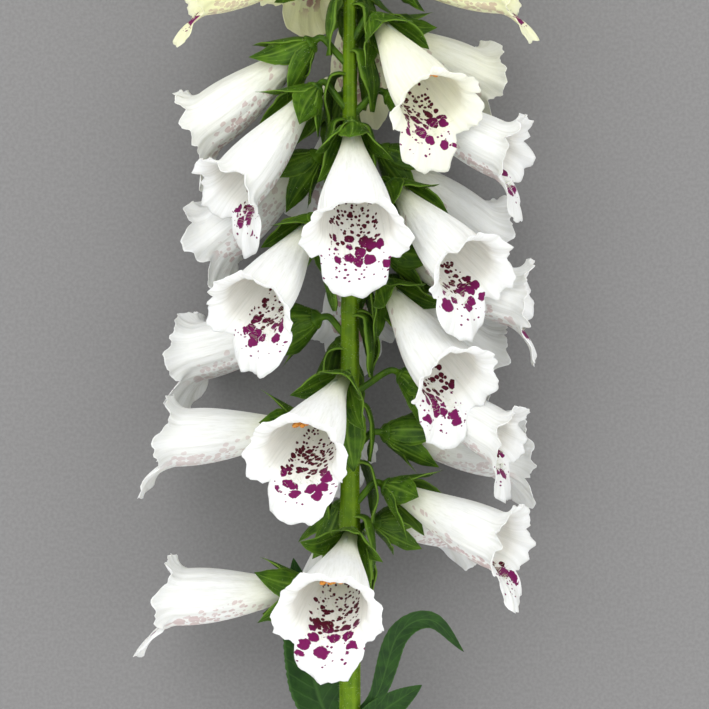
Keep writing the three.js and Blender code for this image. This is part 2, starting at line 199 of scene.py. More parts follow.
FLOWERS = (
    Flower(at=95, turn=-92, droop=3, size=1.02, reach=14),
    Flower(at=113, turn=0, face=-10, droop=30, size=1, reach=11),
    Flower(at=117, turn=130, droop=4, size=0.72, reach=12),
    Flower(at=122, turn=-165, droop=59.5, size=0.9, reach=11),
    Flower(at=129, turn=85, face=70, droop=24, size=1, reach=13),
    Flower(at=147, turn=105, face=114, droop=8, size=0.97, reach=13),
    Flower(at=149, turn=-92, droop=4, size=1.02, reach=14),
    Flower(at=165, turn=-12, face=-22, droop=32, size=1, reach=11),
    Flower(at=166, turn=90, face=73, droop=31, size=0.9, reach=18),
    Flower(at=177, turn=-168, droop=60, size=0.88, reach=11, spread=-0.2),
    Flower(at=185, turn=-113, droop=14, size=1, reach=13),
    Flower(at=196, turn=78, face=43, droop=44, size=1, reach=12),
    Flower(at=197, turn=120, droop=30, size=0.93, reach=13),
    Flower(at=206.5, turn=97, face=86, droop=19, size=1, reach=14.5, spread=-0.4),
    Flower(at=215, turn=178, droop=56, size=0.83, reach=11, spread=-0.2),
    Flower(at=217.5, turn=-65, face=-38, droop=42, size=0.97, reach=13),
    Flower(at=229, turn=76, face=44, droop=39, size=1, reach=15),
    Flower(at=239, turn=-116, droop=35, size=1, reach=13),
    Flower(at=241, turn=118, droop=36, size=1, reach=13),
    Flower(at=248, turn=3, droop=50, size=1, reach=10),
    Flower(at=259, turn=-168, droop=58, size=0.88, reach=11, spread=-0.2),
    Flower(at=261, turn=-84, face=-64, droop=48, size=1, reach=12),
    Flower(at=259.5, turn=96, face=76, droop=26, size=1, reach=14, spread=0.2),
    Flower(at=276.5, turn=-100, droop=36, size=1, reach=14),
    Flower(at=284, turn=62, face=35, droop=42, size=0.98, reach=10),
    Flower(at=283, turn=118, droop=23, size=0.88, reach=12),
    Flower(at=298, turn=172, droop=58, size=0.85, reach=11),
    Flower(at=299, turn=80, droop=6, size=0.9, reach=12),
    Flower(at=301, turn=-80, droop=10, size=0.88, reach=11),
    Flower(at=327, turn=-145, droop=55, size=0.82, reach=10),
    Flower(at=333, turn=20, droop=45, size=0.78, reach=9),
    Flower(at=339, turn=115, droop=30, size=0.74, reach=9),
    Flower(at=346, turn=-60, droop=35, size=0.68, reach=8),
)


@dataclass(frozen=True)
class BudPlan:
    """A spiral of buds up the stem: pale ones first, then green ones."""

    pale: int = 8
    green: int = 7
    start_at: float = 354.0
    end_at: float = 425.0
    turn: float = 137.5
    first_turn: float = 60.0
    longest: float = 22.0
    shortest: float = 4.5
    round: float = 0.2
    first_droop: float = 25.0
    last_droop: float = -55.0
    first_reach: float = 9.0
    last_reach: float = 2.2
    calyx: float = 0.8
    spread: float = 0.8

    def flowers(self) -> list[Flower]:
        """Sets out the buds.

        Returns:
            The buds, from the lowest up.
        """
        count = self.pale + self.green

        def between(first: float, last: float, number: int) -> float:
            """The value of one bud, from the first's to the last's."""
            return first + (last - first) * number / (count - 1)

        return [
            Flower(
                at=between(self.start_at, self.end_at, k),
                turn=self.first_turn + self.turn * k,
                droop=between(self.first_droop, self.last_droop, k),
                reach=between(self.first_reach, self.last_reach, k),
                long=between(self.longest, self.shortest, k),
                size=1.0,
                spread=self.spread,
            )
            for k in range(count)
        ]


BUD_PLAN = BudPlan()
TIP_PLAN = BudPlan(
    pale=0, green=16, start_at=396, end_at=428, first_turn=10, longest=8.5, shortest=3, round=0.24,
    first_droop=-35, last_droop=-78, first_reach=3.4, last_reach=0.7,
)


# Meshes


@dataclass
class MeshMaker:
    """Collects grids of points with what each point knows, and makes one mesh object of them."""

    name: str
    vertices: list[np.ndarray] = field(default_factory=list)
    faces: list[tuple[int, ...]] = field(default_factory=list)
    notes: dict[str, list[np.ndarray]] = field(default_factory=dict)
    count: int = 0

    def points(self, places: np.ndarray, **notes: np.ndarray) -> np.ndarray:
        """Adds points.

        Args:
            places: an array whose last dimension is x, y and z.
            notes: vector attributes of the same shape, by name.

        Returns:
            The points' numbers, in the array's own layout.
        """
        flat = places.reshape(-1, 3)
        ids = np.arange(self.count, self.count + len(flat)).reshape(places.shape[:-1])
        self.vertices.append(flat * MM)
        for key, value in notes.items():
            self.notes.setdefault(key, []).append(np.broadcast_to(value, places.shape).reshape(-1, 3))
        self.count += len(flat)
        return ids

    def tube(self, rings: np.ndarray, **notes: np.ndarray) -> None:
        """Adds a closed tube.

        Args:
            rings: rings by points by x, y and z.
            notes: vector attributes of the same shape.
        """
        ids = self.points(rings, **notes)
        right = np.roll(ids, -1, axis=1)
        quads = np.stack([ids[:-1], right[:-1], right[1:], ids[1:]], axis=-1).reshape(-1, 4)
        self.faces.extend(map(tuple, quads.tolist()))
        for end in (0, -1):
            middle = {
                key: np.broadcast_to(value, rings.shape)[end].mean(axis=0) for key, value in notes.items()
            }
            pole = int(self.points(rings[end].mean(axis=0)[None], **middle)[0])
            self.faces.extend((pole, a, b) for a, b in zip(ids[end].tolist(), right[end].tolist()))

    def shell(self, front: np.ndarray, back: np.ndarray, leaf: np.ndarray) -> None:
        """Adds a closed blade between two grids of points that differ by its thickness.

        Args:
            front: rows along the blade by columns across it.
            back: the same places on the other face.
            leaf: the attribute of one face, used for both.
        """
        both = np.concatenate([front, back[:, ::-1]], axis=1)
        self.tube(both, leaf=np.concatenate([leaf, leaf[:, ::-1]], axis=1))

    def thread(self, path: np.ndarray, radius: np.ndarray, kind: Part, sides: int = 6) -> None:
        """Adds a round thread.

        Args:
            path: its points.
            radius: its radius at each of them.
            kind: what it is.
            sides: how many sides it has.
        """
        tangent = unit(np.gradient(path, axis=0))
        side = unit(np.cross(tangent, ASKEW))
        other = np.cross(tangent, side)
        turn = np.linspace(0, FULL_TURN, sides, endpoint=False)[:, None]
        spin = np.cos(turn) * side[:, None] + np.sin(turn) * other[:, None]
        self.tube(path[:, None] + spin * radius[:, None, None], kind=np.array([kind.value, 0.0, 0.0]))

    def build(self, material: bpy.types.Material, slot: str) -> bpy.types.Object:
        """Makes the object, rides it on the spike and gives it its finish.

        Args:
            material: its finish.
            slot: not used.

        Returns:
            The new object.
        """
        mesh = bpy.data.meshes.new(self.name)
        mesh.from_pydata(np.concatenate(self.vertices).tolist(), [], self.faces)
        for key, values in self.notes.items():
            layer = mesh.attributes.new(key, "FLOAT_VECTOR", "POINT")
            layer.data.foreach_set("vector", np.concatenate(values).astype(np.float32).ravel())
        turn_outward(mesh)
        mesh.polygons.foreach_set("use_smooth", [True] * len(mesh.polygons))
        mesh.materials.append(material)
        piece = bpy.data.objects.new(self.name, mesh)
        bpy.context.scene.collection.objects.link(piece)
        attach(piece, "root")
        LOG.info("%s: %d triangles", self.name, sum(len(face) - 2 for face in self.faces))
        return piece


def turn_outward(mesh: bpy.types.Mesh) -> None:
    """Turns the faces of each closed shell of a mesh outward.

    Args:
        mesh: the mesh, changed in place.
    """
    editor = bmesh.new()
    editor.from_mesh(mesh)
    bmesh.ops.recalc_face_normals(editor, faces=editor.faces)
    editor.to_mesh(mesh)
    editor.free()
    mesh.update()


def stacked(*columns: np.ndarray | float) -> np.ndarray:
    """Grids or numbers as the coordinates of one grid of vectors."""
    return np.stack(np.broadcast_arrays(*columns), axis=-1)


def bezier(points: Sequence[np.ndarray], shares: np.ndarray) -> np.ndarray:
    """Places along a cubic Bezier curve.

    Args:
        points: its four control points.
        shares: from 0 at the start to 1 at the end.

    Returns:
        One place for each share.
    """
    p0, p1, p2, p3 = points
    t = shares[:, None]
    return (1 - t) ** 3 * p0 + 3 * (1 - t) ** 2 * t * p1 + 3 * (1 - t) * t**2 * p2 + t**3 * p3


def through(points: np.ndarray, shares: np.ndarray) -> np.ndarray:
    """Places along a smooth curve through points, by arc length.

    Args:
        points: the places that the curve passes.
        shares: from 0 at the start to 1 at the end.

    Returns:
        One place for each share.
    """
    padded = np.vstack([2 * points[0] - points[1], points, 2 * points[-1] - points[-2]])
    t = np.linspace(0, 1, STEPS_BETWEEN, endpoint=False)[:, None]
    fine = []
    for k in range(len(points) - 1):
        p0, p1, p2, p3 = padded[k : k + 4]
        square = (2 * p0 - 5 * p1 + 4 * p2 - p3) * t**2
        cube = (3 * p1 - p0 - 3 * p2 + p3) * t**3
        fine.append(0.5 * (2 * p1 + (p2 - p0) * t + square + cube))
    line = np.vstack(fine + [points[-1:]])
    run = np.concatenate([[0], np.cumsum(np.linalg.norm(np.diff(line, axis=0), axis=1))])
    return np.stack([np.interp(shares * run[-1], run, line[:, k]) for k in range(3)], axis=1)


@dataclass(frozen=True)
class Profile:
    """A smooth run of values over a length from 0 to 1: what they are at its knots."""

    knots: tuple[float, ...]
    values: tuple[float, ...]
    fine: int = 201
    window: int = 10

    def at(self, shares: np.ndarray) -> np.ndarray:
        """Follows the smooth run.

        Args:
            shares: from 0 at the start to 1 at the end.

        Returns:
            One value for each share.
        """
        fine = np.linspace(0, 1, self.fine)
        line = np.interp(fine, self.knots, self.values)
        before = 2 * line[0] - line[self.window : 0 : -1]
        after = 2 * line[-1] - line[-2 : -self.window - 2 : -1]
        width = 2 * self.window + 1
        padded = np.concatenate([before, line, after])
        return np.interp(shares, fine, np.convolve(padded, np.full(width, 1 / width), mode="valid"))


def unit(vectors: np.ndarray) -> np.ndarray:
    """The vectors at length one."""
    return vectors / np.maximum(np.linalg.norm(vectors, axis=-1, keepdims=True), 1e-9)


def degrees_apart(degrees: np.ndarray, middle: np.ndarray | float) -> np.ndarray:
    """How far angles lie from another one, round the flower."""
    return np.abs((degrees - middle + 540) % 360 - 180)


def waves(
    draw: np.random.Generator,
    angle: np.ndarray,
    table: Sequence[tuple[int, float]],
    shift: np.ndarray | float = 0.0,
) -> np.ndarray:
    """Sine waves round a flower, added up.

    Args:
        draw: where their phases come from.
        angle: where they are wanted, in radians.
        table: how many there are in a turn, and how high they are.
        shift: how far they have turned there.

    Returns:
        Their height at each angle.
    """
    return sum(high * np.sin(step * angle + draw.uniform(0, FULL_TURN) + shift) for step, high in table)


def ripples(
    share: np.ndarray,
    table: Sequence[tuple[float, float]],
    phases: np.ndarray,
    bows: Sequence[np.ndarray],
) -> np.ndarray:
    """Waves that run along a blade and change across it, added up.

    Args:
        share: from 0 at the blade's joint to 1 at its tip.
        table: how fast each wave runs and how high it is.
        phases: where each begins.
        bows: how each changes across the blade.

    Returns:
        Their height, rows along the blade by columns across it.
    """
    return sum(
        high * np.sin(step * share + phase)[:, None] * bow
        for (step, high), phase, bow in zip(table, phases, bows)
    )


def toothed(draw: np.random.Generator, share: np.ndarray, count: int, deep: float) -> np.ndarray:
    """The small teeth along a sepal's or a bract's edge.

    Args:
        draw: where their place comes from.
        share: from 0 at the joint to 1 at the tip.
        count: how many there are.
        deep: how far they stand out, as a share of the width.

    Returns:
        The width with teeth as a share of the width without.
    """
    return 1 + deep * np.abs(np.sin(count * np.pi * share + draw.uniform(0, 3)))


# Corollas


@dataclass(frozen=True)
class Lobe:
    """One lobe of the mouth: its middle and half width in degrees, its length and its roundness."""

    middle: float
    half: float
    long: float
    power: float = 2.0


EDGE_WAVES = ((9, 0.35), (13, 0.35), (34, 0.16))
RUFFLES = ((3, 0.55), (5, 0.7), (8, 0.65), (13, 0.5), (21, 0.28))
CREASES = ((11, 0.1), (17, 0.08), (27, 0.05))
"""How many waves there are round a bell and how high they are: along its edge, across it and on the tube."""
CRENATIONS = ((17, 0.9), (29, 0.5))
"""The same for the scallops of the edge."""


@dataclass(frozen=True)
class Corolla:
    """An open bell: a swelling tube, flatter than wide, with five bent lobes and a long lower lip.

    The sizes in threes hold to the sides, below the axis and above it.
    """

    flower: Flower
    number: int
    around: int = 112
    quick_around: int = 64
    along: int = 20
    crowding: float = 1.15
    lobed: int = 15
    length: float = 44.2
    shorter_above: float = 0.12
    base: tuple[float, float, float] = (2.6, 2.5, 2.4)
    mouth: tuple[float, float, float] = (12.6, 9.8, 9)
    swell: tuple[float, float, float] = (1.6, 1.5, 1.35)
    belly: float = 0.8
    notch: float = 6.2
    edge_drop: float = 0.2
    scallop_drop: float = 0.6
    first_flare: float = 0.15
    lip_flare: float = 1.15
    top_flare: float = 1.45
    pleat: float = 0.42
    pleat_half: float = 9.0
    pleat_start: float = 0.35
    ruffle_start: float = 0.8
    ruffle_power: float = 1.6
    wall: float = 0.45
    thin_from: float = 1.35
    thinning: float = 0.55
    thinnest: float = 0.3
    sheer: tuple[float, float] = (0.5, 0.95)
    behind: float = -0.5
    more_sheer: float = 0.3
    lobes: tuple[Lobe, ...] = (
        Lobe(0, 46, 17, 2.4), Lobe(79, 33, 9.8, 2.2), Lobe(146, 34, 8.6), Lobe(214, 34, 8.6),
        Lobe(281, 33, 9.8, 2.2),
    )

    def lobe_length(self, degrees: np.ndarray) -> np.ndarray:
        """How far the mouth's edge stands out beyond the tube at each angle.

        Args:
            degrees: angles round the axis from the lower side.

        Returns:
            The lobes' length at each angle.
        """
        long = np.full_like(degrees, self.notch)
        for lobe in self.lobes:
            away = degrees_apart(degrees, lobe.middle) / lobe.half
            bow = self.notch + (lobe.long - self.notch) * (1 - away**lobe.power)
            long = np.where(away <= 1, bow, long)
        return long

    def half_sizes(self, tube: np.ndarray) -> tuple[np.ndarray, np.ndarray, np.ndarray]:
        """How wide and how high the tube is along its length.

        Args:
            tube: from 0 at the base to 1 at the mouth.

        Returns:
            Its reach to the sides, below and above.
        """
        rise = np.sin(np.pi / 2 * tube)
        wide, low, high = (
            base + (mouth - base) * rise**swell
            for base, mouth, swell in zip(self.base, self.mouth, self.swell)
        )
        return wide, low + self.belly * np.sin(np.pi * tube), high

    def surface(self, u: np.ndarray, degrees: np.ndarray) -> np.ndarray:
        """Points of the outside in the flower's own frame.

        Args:
            u: from 0 at the base to 1 at the mouth and 2 at the lobes' edges.
            degrees: the angle round the axis from the lower side.

        Returns:
            Distances along the axis, to the lower side and to the right side.
        """
        angle = np.radians(degrees)
        tube = np.minimum(u, 1)
        over = np.maximum(u - 1, 0)
        above = (1 - np.cos(angle)) / 2
        wide, low, high = self.half_sizes(tube)
        deep = np.where(np.cos(angle) > 0, low, high)
        bend = self.lip_flare + (self.top_flare - self.lip_flare) * above - self.first_flare
        turned = self.first_flare + bend * over
        long = self.lobe_length(degrees) + self.edge_waves(degrees) * over
        edge = np.clip((u - self.ruffle_start) / (2 - self.ruffle_start), 0, 1) ** self.ruffle_power
        ruffle = self.ruffles(degrees) * edge + self.folds(u, degrees)
        along = self.length * tube * (1 - self.shorter_above * above * tube)
        along = along + long * (np.sin(turned) - math.sin(self.first_flare)) / bend
        along = along - ruffle * np.sin(turned) * (u > 1)
        outward = long * (math.cos(self.first_flare) - np.cos(turned)) / bend + ruffle * np.cos(turned)
        return stacked(along, np.cos(angle) * (deep + outward), np.sin(angle) * (wide + outward))

    def edge_waves(self, degrees: np.ndarray) -> np.ndarray:
        """The small crenations of the edge, different in each flower.

        Args:
            degrees: angles round the axis from the lower side.

        Returns:
            What they add to the lobes' length.
        """
        draw = np.random.default_rng(100 + self.number)
        angle = np.radians(degrees)
        uneven = waves(draw, angle, EDGE_WAVES)
        scallops = sum(
            high * (self.scallop_drop - np.abs(np.sin(step / 2 * angle + draw.uniform(0, np.pi))))
            for step, high in CRENATIONS
        )
        return uneven + scallops - self.edge_drop

    def ruffles(self, degrees: np.ndarray) -> np.ndarray:
        """How far the edge bends in and out across the petal, different in each flower."""
        return waves(np.random.default_rng(200 + self.number), np.radians(degrees), RUFFLES)

    def folds(self, u: np.ndarray, degrees: np.ndarray) -> np.ndarray:
        """Shallow pleats that run down the tube from the notches, and fine creases along it.

        Args:
            u: from 0 at the base to 1 at the mouth and 2 at the lobes' edges.
            degrees: angles round the axis from the lower side.

        Returns:
            How far the surface moves outward.
        """
        notches = np.array([lobe.middle - lobe.half for lobe in self.lobes])
        away = degrees_apart(degrees[..., None], notches) / self.pleat_half
        down = np.clip((u - self.pleat_start) / (1 - self.pleat_start), 0, 1) * np.clip(2 - u, 0, 1)
        pleat = -self.pleat * np.exp(-(away**2)).sum(axis=-1) * down
        crease = waves(np.random.default_rng(300 + self.number), np.radians(degrees), CREASES, 2.0 * u)
        return pleat + crease * np.sin(np.pi / 2 * np.minimum(u, 1))

    def build(self, finish: bpy.types.Material, tone: Tone) -> bpy.types.Object:
        """Makes the bell in place of its solid.

        Args:
            finish: the petal material.
            tone: its age.

        Returns:
            The new object.
        """
        around = self.around
        tube = np.linspace(0, 1, self.along, endpoint=False) ** self.crowding
        rows = np.concatenate([tube, np.linspace(1, 2, self.lobed)])
        u, turn = np.meshgrid(rows, np.linspace(-180, 180, around, endpoint=False), indexing="ij")
        outside = self.surface(u, turn) * self.flower.size
        step = 0.01
        ahead = self.surface(np.minimum(u + step, 2), turn) - self.surface(np.maximum(u - step, 0), turn)
        beside = self.surface(u, turn + 1) - self.surface(u, turn - 1)
        thick = self.wall * np.clip(self.thin_from - self.thinning * u, self.thinnest, 1)
        inside = outside - unit(np.cross(beside, ahead)) * thick[..., None]
        over = np.maximum(u - 1, 0)
        radius = self.base[0] + (self.mouth[0] - self.base[0]) * np.sin(np.pi / 2 * np.minimum(u, 1))
        run = self.length * np.minimum(u, 1) + over * self.lobe_length(turn)
        angle = np.radians(turn)
        ring = stacked(np.cos(angle) * radius, np.sin(angle) * radius, run)
        outer, inner = (stacked(face, self.flower.youth, over) for face in (0.0, 1.0))
        sheer = np.random.default_rng(400 + self.number).uniform(*self.sheer)
        if self.flower.outward[2] < self.behind:
            sheer += self.more_sheer
        maker = MeshMaker(f"petals_{self.number:02d}")
        maker.tube(
            self.flower.place(np.concatenate([outside, inside[::-1]])),
            petal=np.array([SEED_STEP * self.number, sheer, 0.0]),
            ring=np.concatenate([ring, ring[::-1]]),
            age=np.concatenate([outer, inner[::-1]]),
        )
        piece = maker.build(finish, tone.value)
        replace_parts(piece, f"bell_{self.number:02d}")
        return piece


@dataclass(frozen=True)
class Beard:
    """Fine hairs on the floor of a bell's mouth."""

    corolla: Corolla
    hairs: int = 60
    long: float = 2.0
    thick: float = 0.07
    taper: tuple[float, float, float] = (1.0, 0.8, 0.2)
    droop: float = 0.35
    along: tuple[float, float] = (0.62, 1.35)
    half: float = 17
    lean: tuple[float, float] = (0.1, 0.7)
    sway: float = 0.3

    def build(self, maker: MeshMaker) -> None:
        """Adds them, each a thin curved thread that leans out of the mouth.

        Args:
            maker: the mesh that they join.
        """
        flower = self.corolla.flower
        draw = np.random.default_rng(700 + self.corolla.number)
        u = draw.uniform(*self.along, self.hairs)
        turn = draw.normal(0, self.half, self.hairs)
        leans = draw.uniform(*self.lean, self.hairs)
        sways = draw.normal(0, self.sway, self.hairs)
        axis, lower, side = flower.axes()
        feet = flower.place(self.corolla.surface(u, turn) * flower.size - (0, self.corolla.wall, 0))
        steps = np.array([0.0, 0.5, 1.0])[:, None]
        for foot, lean, sway in zip(feet, leans, sways):
            heading = unit(axis * lean - lower + side * sway)
            path = foot + heading * self.long * draw.uniform(0.5, 1) * steps + axis * self.droop * steps**2
            maker.thread(path, self.thick * np.array(self.taper), Part.STALK, sides=3)


@dataclass(frozen=True)
class Stamens:
    """Four anthers on curved filaments and a style, under the roof of a bell.

    Each place is how far up the tube a thread goes, how far to the side and how far below the roof it ends.
    """

    corolla: Corolla
    stalk: float = 0.32
    anther: float = 0.95
    half: float = 1.5
    splay: float = 0.75
    jitter: float = 0.02
    first: float = 0.12
    steps: int = 16
    roof: float = 9.5
    places: tuple[tuple[float, float, float], ...] = (
        (0.72, -3.4, 1.7), (0.72, 3.4, 1.7), (0.9, -2.0, 3.4), (0.9, 2.0, 3.4),
    )
    style: tuple[float, float, float] = (0.97, 0.4, 1.4)
    style_thick: tuple[float, float] = (0.35, 0.25)

    def build(self, maker: MeshMaker) -> None:
        """Adds them all.

        Args:
            maker: the mesh that they join.
        """
        draw = np.random.default_rng(500 + self.corolla.number)
        _, _, side = self.corolla.flower.axes()
        steps = np.linspace(-self.half, self.half, 9)
        round_ends = np.sqrt(np.maximum(1 - (steps / (1.08 * self.half)) ** 2, 0.03))
        for end, across, lift in self.places:
            path = self.under_roof(end + draw.uniform(-self.jitter, self.jitter), across, lift)
            maker.thread(path, np.full(len(path), self.stalk), Part.STALK)
            for way in (-1.0, 1.0):
                heading = unit(side * way * self.splay + unit(path[-1] - path[-2]))
                middle = path[-1] + side * way * self.anther
                maker.thread(middle + heading * steps[:, None], self.anther * round_ends, Part.ANTHER)
        style = self.under_roof(*self.style)
        maker.thread(style, np.linspace(*self.style_thick, len(style)), Part.STALK)

    def under_roof(self, end: float, across: float, lift: float) -> np.ndarray:
        """A line that follows the roof of the bell from its base.

        Args:
            end: how far up the tube it goes.
            across: how far to the side it ends.
            lift: its distance below the roof.

        Returns:
            Its points in the frame.
        """
        u = np.linspace(self.first, end, self.steps)
        turn = 180 - np.degrees(across / self.roof) * np.linspace(0.2, 1, self.steps)
        local = self.corolla.surface(u, turn) * self.corolla.flower.size
        sink = lift * np.arange(self.steps) / self.steps
        shrink = 1.0 - sink / np.maximum(np.hypot(local[:, 1], local[:, 2]), 2.0)
        return self.corolla.flower.place(local * stacked(1.0, shrink, shrink))


# Green parts


@dataclass(frozen=True)
class Blade:
    """A leaf's outline and relief, laid along a midrib."""

    half: float
    widest: float
    thick: float = 0.6
    fullness: float = 0.8
    fold: float = 0.3
    teeth: float = 0.05
    tooth_count: int = 26
    tooth_drop: float = 0.6
    stub: float = 0.07
    point: float = 0.01
    thinning: float = 0.45
    ripples: tuple[tuple[float, float], ...] = ((9, 0.5), (23, 0.25))
    lowest: float = -0.4
    settled_height: float = 9.0
    midrib: tuple[float, float] = (0.22, 0.07)
    veins: tuple[float, float] = (0.14, 0.16)
    vein_count: int = 13
    vein_slant: float = 1.6
    rows: int = 72
    columns: int = 17

    def build(self, maker: MeshMaker, midrib: np.ndarray, seed: int, rests: bool = False) -> None:
        """Adds the blade along a midrib.

        Args:
            maker: the mesh that it joins.
            midrib: its points from the joint to the tip.
            seed: the number that its ripples and teeth come from.
            rests: whether its outer end lies on the surface.
        """
        share = np.linspace(0, 1, self.rows)
        path = through(midrib, share)
        if rests:
            path[:, 2] = np.where(path[:, 2] < self.thick, 0.0, path[:, 2])
        tangent = unit(np.gradient(path, axis=0))
        side = unit(np.cross(tangent, TABLE_UP))
        normal = unit(np.cross(side, tangent))
        low = np.sin(np.pi / 2 * np.clip(share / self.widest, 0, 1))
        high = np.cos(np.pi / 2 * np.clip((share - self.widest) / (1 - self.widest), 0, 1))
        form = np.where(share < self.widest, low, high) ** self.fullness
        form = np.maximum(form, self.stub * (1 - share) + self.point)
        phase = np.random.default_rng(seed).uniform(0, FULL_TURN, 3)
        teeth = np.abs(np.sin(np.pi * self.tooth_count * share + phase[0])) - self.tooth_drop
        reach = (self.half * form * (1 + self.teeth * teeth))[:, None]
        across = np.linspace(-1, 1, self.columns)
        bows = (np.sign(across) * across**2, across**4)
        wave = ripples(share, self.ripples, phase[1:], bows) * form[:, None]
        settled = np.clip(path[:, 2:] / self.settled_height, 0, 1) if rests else 1.0
        rise = np.maximum((self.fold * reach * across**2 + wave) * settled, self.lowest)
        under = path[:, None] + side[:, None] * (reach * across)[..., None]
        under = under + normal[:, None] * rise[..., None]
        depth = self.thick * (1 - self.thinning * across**2) * np.minimum(1, form * 3)[:, None]
        depth = depth - self.vein_relief(share[:, None], across)
        top = under + normal[:, None] * depth[..., None]
        maker.shell(top, under, stacked(across, share[:, None], seed * 3.7))

    def vein_relief(self, share: np.ndarray, across: np.ndarray) -> np.ndarray:
        """How far the upper face sinks at the midrib and at the side veins.

        Args:
            share: from 0 at the joint to 1 at the tip.
            across: from -1 at one edge to 1 at the other.

        Returns:
            The depth of the veins.
        """
        middle_deep, middle_half = self.midrib
        deep, half = self.veins
        middle = np.exp(-((across / middle_half) ** 2))
        run = (share * self.vein_count - np.abs(across) * self.vein_slant) % 1.0
        sides = np.exp(-(((run - 0.5) / half) ** 2)) * np.minimum(1, np.abs(across) * 6)
        return middle_deep * middle + deep * sides


SEPAL_FORM = Profile((0, 0.1, 0.28, 0.5, 0.75, 0.92, 1), (0.5, 0.75, 1, 0.97, 0.62, 0.2, 0.02))
BRACT_FORM = Profile((0, 0.12, 0.35, 0.6, 0.85, 1), (0.4, 0.7, 1, 0.9, 0.46, 0.03))
"""How wide a sepal and a bract are along their length."""
SEPAL_STAND = Profile((0, 0.12, 0.45, 0.75, 1), (2.6, 4.2, 6.1, 8.1, 9.6))
"""How far a sepal stands from the flower's axis along its length."""
SEPAL_SPREAD = Profile((0, 0.12, 0.45, 0.75, 1), (0, 0, 0.9, 1.7, 2.7))
"""How much farther it stands when it spreads."""


